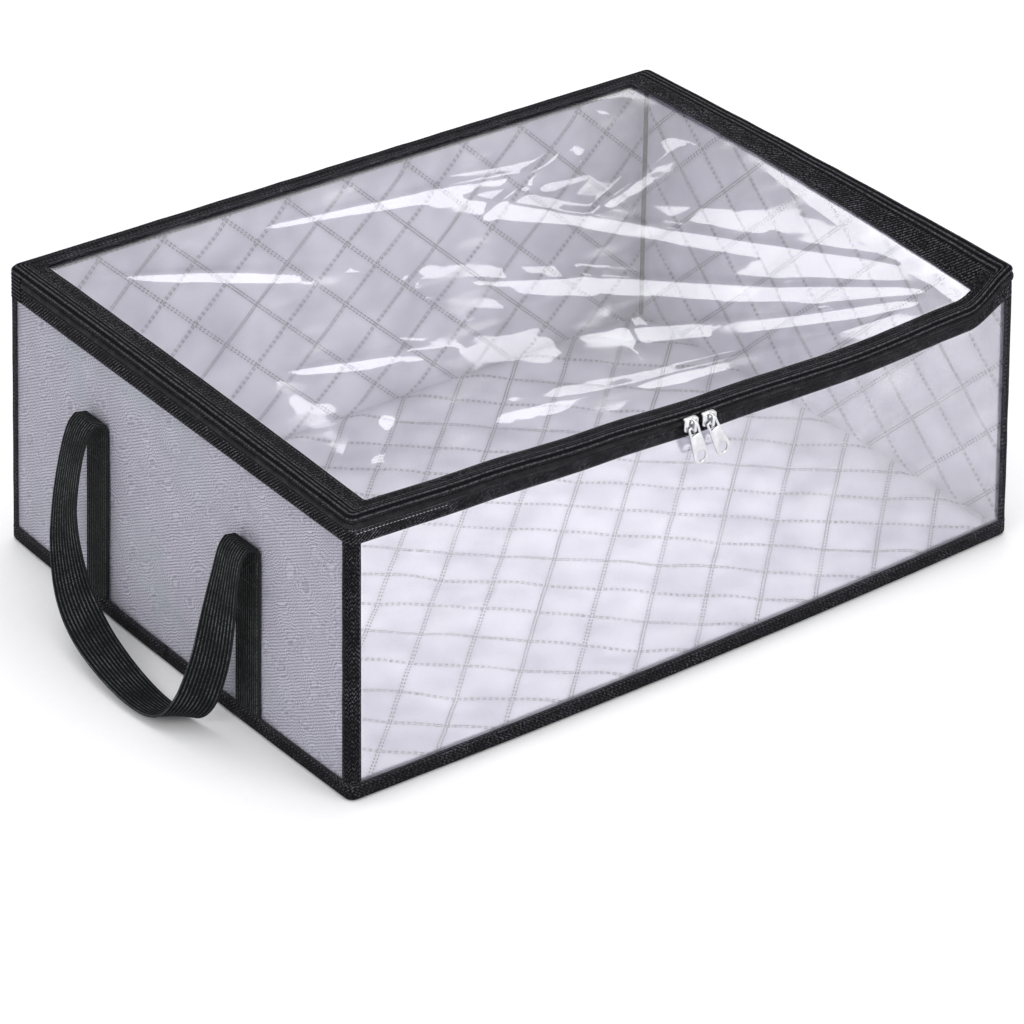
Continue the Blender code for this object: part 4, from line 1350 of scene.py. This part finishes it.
@dataclass
class ZipLid:
    """The lid's rolled border, the zip, the band below it and the binding of the hinge side."""

    case: SoftCase
    finishes: Finishes
    skirt: float = 3.8 * MM
    zip_height: float = 7 * MM
    zip_tape: float = 1.2 * MM
    coil_height: float = 4 * MM
    coil_proud: float = 1.6 * MM
    zip_back: float = 0.6 * MM
    band_height: float = 10 * MM
    rim_radius: float = 3.5 * MM
    hinge_turn: float = 1 * MM
    coil_pitch: float = 1.5 * MM
    step: float = 3.6 * MM

    @property
    def zip_top(self) -> float:
        """The zip's upper edge."""
        return self.case.height - self.skirt - self.case.gap

    @property
    def zip_bottom(self) -> float:
        """The zip's lower edge."""
        return self.zip_top - self.zip_height

    @property
    def split(self) -> float:
        """Where the zip ends and the hinge starts, along both ends."""
        return self.case.half[1] - self.case.borders[3] - self.case.window_radius - self.hinge_turn

    def zip_route(self) -> Route:
        """From the left end's back, round the front, to the right end's back."""
        stop = self.split - self.case.gap / 2
        return self.case.route([Side.LEFT, Side.FRONT, Side.RIGHT], stop, stop, self.case.window, self.step)

    def hinge_route(self) -> Route:
        """From the left end's back, round the back, to the right end's back."""
        stop = self.split + self.case.gap / 2
        return self.case.route([Side.LEFT, Side.BACK, Side.RIGHT], stop, stop, self.case.window, self.step)

    def border_rows(self, skirt: float) -> tuple[tuple[float, float, float], ...]:
        """The middle line of a border: flat from the window, rolled over the rim and down."""
        top, half = self.case.height, self.case.tape / 2
        radius = self.rim_radius - half
        bend = []
        for angle in BoundEdges.quarter():
            out = -self.rim_radius + radius * math.sin(angle)
            bend.append((1.0, out, top - self.rim_radius + radius * math.cos(angle)))
        return ((0.0, 0.0, top - half), *bend, (1.0, -half, top - skirt))

    def borders(self) -> None:
        """Builds the lid's border and the hinge binding, with the row that holds the film."""
        band_bottom = self.zip_bottom - self.case.gap - self.band_height
        for name, route, skirt in (
            ("lid_border", self.zip_route(), self.skirt),
            ("hinge_binding", self.hinge_route(), self.case.height - band_bottom),
        ):
            profile = TapeProfile(
                self.border_rows(skirt), self.case.tape, 0.15 * MM, RIDGE_PITCH, 0.55 * MM, RIDGE_START, 0.5 * MM
            )
            draft = tape_on(self.case, route, profile, wave=0.35 * MM)
            piece = draft.build(name + "_tape", [self.finishes.border])
            dress(piece, "case", "black_binding", name)
            sewing = Draft()
            top = self.case.height + 0.28 * MM
            for share in (0.12, 0.48):
                stitch_route(sewing, self.case, route, (share, 0.0, top), 3.0 * MM, BoundEdges.grain())
            sewn = sewing.build(name + "_stitches", [self.finishes.dark_thread])
            dress(sewn, "case", "black_binding")

    def band(self) -> None:
        """Builds the band below the zip, with a dark row all round and a pale one by the front-left corner."""
        top = self.zip_bottom - self.case.gap
        route = self.zip_route()
        half = self.case.tape / 2
        rows = ((1.0, -half, top), (1.0, -half, top - self.band_height))
        profile = TapeProfile(rows, self.case.tape, 0.0, step=0.8 * MM)
        piece = tape_on(self.case, route, profile).build("zip_lower_band_tape", [self.finishes.border])
        dress(piece, "case", "black_binding", "zip_lower_band")
        sewing = Draft()
        stitch_route(sewing, self.case, route, (1.0, 0.0, top - 8.4 * MM), 3.0 * MM, BoundEdges.grain())
        sewn = sewing.build("zip_lower_band_stitches", [self.finishes.dark_thread])
        dress(sewn, "case", "black_binding")
        near = (route.place[:, 1] < -self.case.half[1] + 1 * MM) & (route.place[:, 0] < -195 * MM)
        part = Route(route.place[near], route.outward[near], route.inner[near])
        pale = Draft()
        stitch_route(pale, self.case, part, (1.0, 0.05 * MM, top - 1.6 * MM), 2.6 * MM, BoundEdges.grain())
        tack = pale.build("zip_corner_tacking", [self.finishes.pale_thread])
        dress(tack, "case", "black_binding")

    def chain(self) -> None:
        """Builds the zip's two tapes and its closed coil."""
        route = self.zip_route()
        middle = (self.zip_top + self.zip_bottom) / 2
        draft = Draft()
        half = self.zip_tape / 2
        rows = ((1.0, -self.zip_back - half, self.zip_top), (1.0, -self.zip_back - half, self.zip_bottom))
        profile = TapeProfile(rows, self.zip_tape, 0.0, 1.75 * MM, 0.22 * MM, step=0.45 * MM)
        draft = tape_on(self.case, route, profile, wave=0.1 * MM)
        tapes = draft.build("zip_tapes", [self.finishes.zip_tape])
        dress(tapes, "case", "black_zip", "zip_chain")
        along = route.along
        places = np.arange(self.coil_pitch, along[-1] - self.coil_pitch, self.coil_pitch / 2)

        def at(values: Array) -> Array:
            return np.stack([np.interp(places, along, column) for column in values.T], 1)

        spot, outward = at(route.place), at(route.outward)
        outward /= np.linalg.norm(outward, axis=1, keepdims=True)
        side = np.column_stack([-outward[:, 1], outward[:, 0]])
        even = (np.arange(len(places)) % 2)[:, None, None]
        turn = np.linspace(-math.pi / 2, math.pi / 2, 6)
        arch_z = middle + np.where(even, 1, -1)[:, :, 0] * 0.35 * MM + np.sin(turn) * (self.coil_height / 2 - 0.35 * MM)
        rise = -self.zip_back - 0.3 * MM + np.cos(turn) ** 0.6 * (self.coil_proud - 0.1 * MM)
        thick = 0.42 * MM
        ring = []
        for dx, dr in ((-1, 0), (0, 1), (1, 0), (0, -0.8)):
            flat = spot[:, None] + outward[:, None] * (rise + dr * thick * np.cos(turn))[None, :, None]
            flat = flat + side[:, None] * dx * thick * 1.1
            lift = np.broadcast_to(arch_z + dr * thick * np.sin(turn), flat.shape[:2])
            ring.append(self.case.settle(np.concatenate([flat, lift[..., None]], -1)))
        teeth = np.stack(ring, 2)
        draft = Draft()
        start = draft.add_points(teeth, np.zeros_like(teeth))
        index = start + np.arange(teeth.shape[0] * 24).reshape(teeth.shape[0], 6, 4)
        wrap = np.concatenate([index, index[..., :1]], -1)
        cells = np.stack([wrap[:, :-1, :-1], wrap[:, 1:, :-1], wrap[:, 1:, 1:], wrap[:, :-1, 1:]], -1)
        draft.add_faces(cells.reshape(-1, 4))
        draft.add_faces(index[:, 0, ::-1])
        draft.add_faces(index[:, -1])
        coil = draft.build("zip_coil", [self.finishes.coil])
        dress(coil, "case", "black_zip")


@dataclass
class WebbingHandle:
    """A length of webbing: two legs sewn up an end panel and the hanging loop between them."""

    case: SoftCase
    finishes: Finishes
    x_sign: int
    width: float = 25 * MM
    thickness: float = 1.6 * MM
    half_spread: float = 85 * MM
    shift: float = -2 * MM
    back_fold: float = 139 * MM
    front_fold: float = 131 * MM
    reach: float = 39 * MM
    foot: float = 12.3 * MM
    wall_inset: float = 2.0 * MM
    loop_steps: int = 12
    # Share of the reach, share of the half spread, share of that side's fold height, roll in degrees
    loop_table: tuple[tuple[float, float, float, float], ...] = (
        (0.22, 1.00, 1.000, 90),
        (0.35, 1.00, 0.960, 90),
        (0.47, 1.00, 0.860, 90),
        (0.57, 1.00, 0.710, 88),
        (0.63, 0.99, 0.560, 82),
        (0.68, 0.93, 0.390, 66),
        (0.78, 0.74, 0.235, 44),
        (0.88, 0.44, 0.140, 22),
        (0.94, 0.08, 0.080, 9),
        (0.95, -0.28, 0.042, 0),
        (0.90, -0.55, 0.034, -9),
        (0.82, -0.73, 0.070, -26),
        (0.74, -0.85, 0.170, -40),
        (0.66, -0.92, 0.310, -52),
        (0.57, -0.95, 0.450, -60),
        (0.48, -0.97, 0.640, -72),
        (0.40, -0.99, 0.820, -85),
        (0.32, -1.00, 0.950, -90),
        (0.20, -1.00, 1.000, -90),
    )

    @property
    def leg_out(self) -> float:
        """How far outside the box's face the middle of a leg lies."""
        return -self.wall_inset + self.case.gap + self.thickness / 2

    def leg(self, sign: int, fold: float) -> Array:
        """Rows of out, along, up and roll up one leg, from its foot to its fold."""
        place = self.shift + sign * self.half_spread
        up = np.linspace(self.foot, fold * 0.955, 26)
        rows = np.column_stack([np.full(26, self.leg_out), np.full(26, place), up, np.full(26, sign * 90.0)])
        last = [self.leg_out + self.thickness, place, fold * 0.99, sign * 90.0]
        return np.vstack([rows, last])

    def route(self) -> Array:
        """Rows of out, along, up and roll of the webbing's middle line, from one foot to the other."""
        out, along, up, roll = smooth_rows(self.loop_table, self.loop_steps).T
        fold = self.front_fold + (self.back_fold - self.front_fold) * smooth_step((along + 1) / 2)
        place = self.shift + along * self.half_spread
        loop = np.column_stack([out * self.reach, place, up * fold, np.clip(roll, -90, 90)])
        return np.vstack([self.leg(1, self.back_fold), loop, self.leg(-1, self.front_fold)[::-1]])

    def frames(self) -> tuple[Array, Array, Array]:
        """The middle line with its side and normal directions.

        Returns:
            Middles, sides and normals, a row for each station, for the handle of the left end.
        """
        rows = self.route()
        middle = np.column_stack([-(self.case.half[0] + rows[:, 0]), rows[:, 1], rows[:, 2]])
        held = np.vstack([middle[:1], middle, middle[-1:]])
        tangent = held[2:] - held[:-2]
        tangent /= np.linalg.norm(tangent, axis=1, keepdims=True)

        def square(direction: Sequence[float]) -> Array:
            way = np.array(direction) - tangent * (tangent @ np.array(direction))[:, None]
            return way / np.linalg.norm(way, axis=1, keepdims=True)

        outward = square((-1.0, 0.0, 0.0))
        roll = np.radians(rows[:, 3])[:, None]
        side = outward * np.cos(roll) + np.cross(tangent, outward) * np.sin(roll)
        upright = np.abs(np.abs(rows[:, 3]) - 90) < 1e-6
        side[upright] = square((0.0, 1.0, 0.0))[upright]
        return middle, side, np.cross(side, tangent)

    def placed(self, points: Array) -> Array:
        """Points of the left handle carried to this one and settled with the case."""
        return self.case.settle(points * np.array([-self.x_sign, 1.0, 1.0]))

    def build(self, name: str) -> Piece:
        """Builds the webbing and the stitching of its legs.

        Args:
            name: The handle's name, which is its solid's.

        Returns:
            The webbing.
        """
        middle, side, normal = self.frames()
        half, thick = self.width / 2, self.thickness / 2
        across = np.linspace(-half + thick * 0.6, half - thick * 0.6, 45)
        ribs = 0.14 * MM * (np.abs(np.sin(math.pi * across / (2.27 * MM))) - 1)
        turn = np.linspace(0, math.pi, 5)[1:-1]
        outer = np.column_stack([across, thick + ribs])
        cap = np.column_stack([across[-1] + thick * 0.6 * np.sin(turn), thick * np.cos(turn)])
        section = np.vstack([outer, cap, outer[::-1] * [1, -1], cap[::-1] * [-1, 1]])
        run = np.concatenate([[0.0], np.cumsum(np.linalg.norm(np.diff(middle, axis=0), axis=1))])
        points = middle[:, None] + side[:, None] * section[None, :, :1] + normal[:, None] * section[None, :, 1:]
        shape = points.shape[:2]
        place = np.broadcast_to(section[:, 0][None], shape)
        cloth = np.stack([np.broadcast_to(run[:, None], shape), place, half - np.abs(place)], -1)
        draft = Draft()
        draft.add_tape(self.placed(points), cloth)
        piece = draft.build(name + "_webbing", [self.finishes.webbing], crease=60)
        dress(piece, "case", "black_webbing", name)
        sewing = Draft()
        for sign, fold in ((1, self.back_fold), (-1, self.front_fold)):
            self.sew_leg(sewing, sign, fold)
        sewn = sewing.build(name + "_stitches", [self.finishes.dark_thread])
        dress(sewn, "case", "black_webbing")
        return piece

    def sew_leg(self, draft: Draft, sign: int, fold: float) -> None:
        """Sews a row along both edges of a leg, and a crossed box below its fold.

        Args:
            draft: What the stitches are added to.
            sign: 1 for the back leg, -1 for the front one.
            fold: The height of the leg's fold.
        """
        place = self.shift + sign * self.half_spread
        out = -(self.case.half[0] + self.leg_out + self.thickness / 2 + 0.05 * MM)
        half, top, low = self.width / 2 - 2.2 * MM, fold * 0.93, fold * 0.93 - 20 * MM
        lines = [
            ((place - half, self.foot), (place - half, top)),
            ((place + half, self.foot), (place + half, top)),
            ((place - half, top), (place + half, top)),
            ((place - half, low), (place + half, low)),
            ((place - half, low), (place + half, top)),
            ((place - half, top), (place + half, low)),
        ]
        for start, end in lines:
            count = max(3, math.ceil(math.dist(start, end) / (3 * MM)))
            y, z = np.linspace(start, end, count).T
            line = self.placed(np.column_stack([np.full(count, out), y, z]))
            sew_line(draft, line, np.tile([self.x_sign, 0.0, 0.0], (count, 1)), 3 * MM, BoundEdges.grain())


@dataclass
class ZipPulls:
    """The two sliders, nose to nose at the front, with their hanging pull tabs."""

    case: SoftCase
    finishes: Finishes
    places: tuple[tuple[str, float, float], ...] = (("left", -13 * MM, 18.0), ("right", 1.5 * MM, 26.0))
    length: float = 11 * MM
    height: float = 9 * MM
    thickness: float = 3.2 * MM
    gap: float = 0.4 * MM
    crown_width: float = 2 * MM
    crown_bar: float = 1.4 * MM
    crown_clear: float = 2.4 * MM
    tab_length: float = 29 * MM
    tab_top: float = 8.4 * MM
    tab_end: float = 11 * MM
    tab_thickness: float = 1.2 * MM
    tab_seat: float = 1.8 * MM
    eye_width: float = 5.2 * MM
    eye_length: float = 5.5 * MM
    hole_width: float = 6.4 * MM
    hole_length: float = 8 * MM
    end_wall: float = 2 * MM
    zip_middle: float = 192.4 * MM
    coil_face: float = 1.0 * MM

    def plate(self, name: str, outlines: Sequence[Array], depth: float, round_by: float) -> bpy.types.Mesh:
        """A flat plate with holes and rounded edges, lying in X and Y.

        Args:
            name: The plate's name.
            outlines: The outer outline and those of its holes.
            depth: Its thickness.
            round_by: The radius of its edges.

        Returns:
            The plate's mesh.
        """
        curve = bpy.data.curves.new(name, "CURVE")
        curve.dimensions = "2D"
        curve.fill_mode = "BOTH"
        curve.extrude = depth / 2 - round_by
        curve.bevel_depth = round_by
        curve.bevel_resolution = 2
        curve.offset = -round_by
        for outline in outlines:
            spline = curve.splines.new("POLY")
            spline.points.add(len(outline) - 1)
            spline.points.foreach_set("co", np.column_stack([outline, np.zeros(len(outline)), np.ones(len(outline))]).ravel())
            spline.use_cyclic_u = True
        holder = bpy.data.objects.new(name, curve)
        bpy.context.scene.collection.objects.link(holder)
        graph = bpy.context.evaluated_depsgraph_get()
        mesh = bpy.data.meshes.new_from_object(holder.evaluated_get(graph))
        bpy.data.objects.remove(holder)
        bpy.data.curves.remove(curve)
        solid = bmesh.new()
        solid.from_mesh(mesh)
        bmesh.ops.remove_doubles(solid, verts=solid.verts, dist=0.005 * MM)
        bmesh.ops.recalc_face_normals(solid, faces=solid.faces)
        solid.to_mesh(mesh)
        solid.free()
        return mesh

    def arc(self, centre: tuple[float, float], radii: tuple[float, float], start: float, end: float, steps: int) -> Array:
        """Points round an ellipse from one angle to another, in degrees."""
        turn = np.radians(np.linspace(start, end, steps + 1))
        return np.column_stack([centre[0] + radii[0] * np.cos(turn), centre[1] + radii[1] * np.sin(turn)])

    def rounded_box(self, half_x: float, half_y: float, radius: float, middle: float = 0.0) -> Array:
        """The outline of a box with rounded corners."""
        corners = ((1, 1, 0), (-1, 1, 90), (-1, -1, 180), (1, -1, 270))
        parts = [
            self.arc((sx * (half_x - radius), middle + sy * (half_y - radius)), (radius, radius), turn, turn + 90, 6)
            for sx, sy, turn in corners
        ]
        return np.vstack(parts)

    def tab_mesh(self, name: str) -> bpy.types.Mesh:
        """The pull tab in its own plane, its hinge line at the origin."""
        bar, top, end = self.crown_bar / 2, self.tab_top / 2, self.tab_end / 2
        centre = -self.tab_length + end
        outline = np.vstack(
            [
                self.arc((top - bar, 0), (bar, bar), 0, 90, 5),
                self.arc((-top + bar, 0), (bar, bar), 90, 180, 5),
                [(-top, -self.eye_length)],
                self.arc((0, centre), (end, end), 180, 360, 26),
                [(top, -self.eye_length)],
            ]
        )
        eye_middle = -bar - self.eye_length / 2
        eye = self.rounded_box(self.eye_width / 2, self.eye_length / 2, 0.9 * MM, eye_middle)
        hole_middle = -self.tab_length + self.end_wall + self.hole_length / 2
        hole = self.arc((0, hole_middle), (self.hole_width / 2, self.hole_length / 2), 0, 360, 32)[:-1]
        return self.plate(name, [outline, eye, hole], self.tab_thickness, 0.28 * MM)

    def slider_mesh(self, name: str) -> bpy.types.Mesh:
        """The slider's face, its shoulder plate and its crown, joined in one mesh."""
        half_x, half_y = self.length / 2, self.height / 2
        cut = 2.2 * MM
        face = np.vstack(
            [
                self.arc((half_x - cut, half_y - cut), (cut, cut), 0, 90, 8),
                self.arc((-half_x + cut, half_y - cut), (cut, cut), 90, 180, 8),
                self.arc((-half_x + cut, -half_y + cut), (cut, cut), 180, 270, 8),
                self.arc((half_x - cut, -half_y + cut), (cut, cut), 270, 360, 8),
            ]
        )
        upright = Matrix.Rotation(math.radians(90), 4, "X")
        body = self.plate(name, [face], self.thickness, 0.7 * MM)
        body.transform(upright)
        raised = self.plate(name + "_shoulder", [face * 0.72], 0.8 * MM, 0.35 * MM)
        raised.transform(Matrix.Translation((0, -self.thickness / 2 + 0.22 * MM, 0)) @ upright)
        inner = half_y - self.crown_bar - 0.2 * MM
        outer = inner + self.crown_bar
        foot, under = self.thickness / 2 - 0.6 * MM, self.thickness / 2 + self.crown_clear
        over = under + self.crown_bar
        radius, small = 1.6 * MM, 0.4 * MM
        arch = np.vstack(
            [
                [(-outer, foot)],
                self.arc((-outer + radius, over - radius), (radius, radius), 180, 90, 8),
                self.arc((outer - radius, over - radius), (radius, radius), 90, 0, 8),
                [(outer, foot), (inner, foot)],
                self.arc((inner - small, under - small), (small, small), 0, 90, 4),
                self.arc((-inner + small, under - small), (small, small), 90, 180, 4),
                [(-inner, foot)],
            ]
        )
        crown = self.plate(name + "_crown", [arch], self.crown_width, 0.4 * MM)
        crown.transform(Matrix(((0, 0, 1, 0), (0, -1, 0, 0), (1, 0, 0, 0), (0, 0, 0, 1))))
        whole = bmesh.new()
        for mesh in (body, raised, crown):
            whole.from_mesh(mesh)
        bmesh.ops.recalc_face_normals(whole, faces=whole.faces)
        whole.to_mesh(body)
        whole.free()
        return body

    def polish(self, name: str, mesh: bpy.types.Mesh, place: Matrix, body: str, solid: str) -> Piece:
        """Places a metal mesh and dresses it.

        Args:
            name: The piece's name.
            mesh: Its mesh, round its own origin.
            place: Where it goes.
            body: The body that it rides on.
            solid: The solid that it stands for.

        Returns:
            The piece.
        """
        mesh.transform(place)
        mesh.materials.clear()
        mesh.materials.append(self.finishes.metal)
        mesh.shade_smooth()
        mesh.set_sharp_from_angle(angle=math.radians(50))
        piece = bpy.data.objects.new(name, mesh)
        bpy.context.scene.collection.objects.link(piece)
        return dress(piece, body, "slider_metal", solid)

    def build(self) -> None:
        """Builds both sliders and their tabs."""
        for side, x, tilt in self.places:
            face = Vector(self.case.settle(np.array([x, -self.case.half[1] - self.coil_face, self.zip_middle])))
            place = face + Vector((0, -self.gap - self.thickness / 2, 0))
            slider = self.slider_mesh("slider_" + side)
            self.polish("slider_" + side + "_bright", slider, Matrix.Translation(place), "case", "slider_" + side)
            drop = -(self.height / 2 - self.crown_bar - 0.2 * MM) + self.tab_seat
            out = self.thickness / 2 + self.crown_clear / 2
            pivot = place + Vector((0, -out, drop))
            turn = Matrix.Rotation(-math.radians(tilt), 4, "Y") @ Matrix.Rotation(math.radians(90), 4, "X")
            tab = self.tab_mesh("tab_" + side)
            spot = Matrix.Translation(pivot) @ turn
            self.polish("pull_tab_" + side + "_bright", tab, spot, "pull_" + side, "pull_tab_" + side)


@dataclass(frozen=True)
class PhotoCamera:
    """The camera at the photograph's angle."""

    place: tuple[float, float, float] = (-1.3935593, -1.80062997, 1.34628381)
    yaw: float = 37.75
    pitch: float = 30.27
    roll: float = 0.76
    lens: float = 141.17

    def build(self) -> None:
        """Adds the camera and makes it the scene's."""
        yaw, pitch, roll = (math.radians(angle) for angle in (self.yaw, self.pitch, self.roll))
        ahead = Vector((math.sin(yaw) * math.cos(pitch), math.cos(yaw) * math.cos(pitch), -math.sin(pitch)))
        right = Vector((math.cos(yaw), -math.sin(yaw), 0))
        up = right.cross(ahead)
        turned = right * math.cos(roll) + up * math.sin(roll)
        raised = up * math.cos(roll) - right * math.sin(roll)
        camera = bpy.data.objects.new("photo_camera", bpy.data.cameras.new("photo_camera"))
        camera.data.sensor_width = 36
        camera.data.lens = self.lens
        camera.data.clip_start, camera.data.clip_end = 0.05, 60
        axes = Matrix((turned, raised, -ahead)).transposed().to_4x4()
        camera.matrix_world = Matrix.Translation(self.place) @ axes
        bpy.context.scene.collection.objects.link(camera)
        bpy.context.scene.camera = camera


@dataclass(frozen=True)
class Studio:
    """The pale floor, three soft lights and the light that comes from all round."""

    floor_half: float = 9.0
    # The brightness of the air straight up and at the horizon
    air: tuple[float, float] = (1.05, 0.42)
    # Name, place, size in metres, power in watts
    lights: tuple[tuple[str, tuple[float, float, float], float, float], ...] = (
        ("top_softbox", (0.3, 0.9, 2.6), 2.9, 34.0),
        ("left_softbox", (-2.4, -0.6, 1.5), 1.5, 22.0),
        ("front_softbox", (1.1, -2.9, 0.95), 1.7, 58.0),
        ("back_softbox", (2.3, 2.7, 1.72), 0.42, 0.62),
        ("back_left_softbox", (1.2, 2.9, 1.7), 0.34, 0.3),
    )

    def build(self) -> None:
        """Adds the floor, the lights and the world."""
        mesh = bpy.data.meshes.new("studio_floor")
        reach = self.floor_half
        low = -0.2 * MM
        corners = [(-reach, -reach, low), (reach, -reach, low), (reach, reach, low), (-reach, reach, low)]
        mesh.from_pydata(corners, [], [(0, 1, 2, 3)])
        mesh.materials.append(PaleFloor().material("pale_floor"))
        floor = bpy.data.objects.new("studio_floor", mesh)
        bpy.context.scene.collection.objects.link(floor)
        for name, place, size, power in self.lights:
            light = bpy.data.lights.new(name, "AREA")
            light.shape, light.size, light.energy = "SQUARE", size, power
            lamp = bpy.data.objects.new(name, light)
            lamp.location = place
            lamp.rotation_euler = (Vector((0, 0, 0.1)) - Vector(place)).to_track_quat("-Z", "Y").to_euler()
            bpy.context.scene.collection.objects.link(lamp)
        world = bpy.data.worlds.new("studio_air")
        world.use_nodes = True
        air = world.node_tree.nodes["Background"]
        tree = world.node_tree
        place = tree.nodes.new("ShaderNodeTexCoord")
        upward = tree.nodes.new("ShaderNodeSeparateXYZ")
        level = tree.nodes.new("ShaderNodeMapRange")
        level.inputs["To Max"].default_value, level.inputs["To Min"].default_value = self.air
        tree.links.new(place.outputs["Generated"], upward.inputs[0])
        tree.links.new(upward.outputs["Z"], level.inputs["Value"])
        tree.links.new(level.outputs[0], air.inputs["Strength"])
        air.inputs["Color"].default_value = (1.0, 1.0, 1.0, 1.0)
        bpy.context.scene.world = world
        bpy.context.scene.view_settings.view_transform = "Standard"


def main() -> None:
    """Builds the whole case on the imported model, with its camera and studio."""
    logging.basicConfig(level=logging.INFO, format="%(name)s %(message)s")
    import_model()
    case, finishes = SoftCase(), Finishes()
    PhotoCamera().build()
    Studio().build()
    edges = BoundEdges(case, finishes)
    edges.base()
    edges.corners()
    lid = ZipLid(case, finishes)
    lid.borders()
    lid.band()
    lid.chain()
    FabricPanels(case, finishes).build()
    windows = ClearWindows(case, finishes)
    windows.lid()
    windows.front()
    for name, x_sign in (("handle_left", -1), ("handle_right", 1)):
        WebbingHandle(case, finishes, x_sign).build(name)
    ZipPulls(case, finishes).build()


if __name__ == "__main__":
    main()
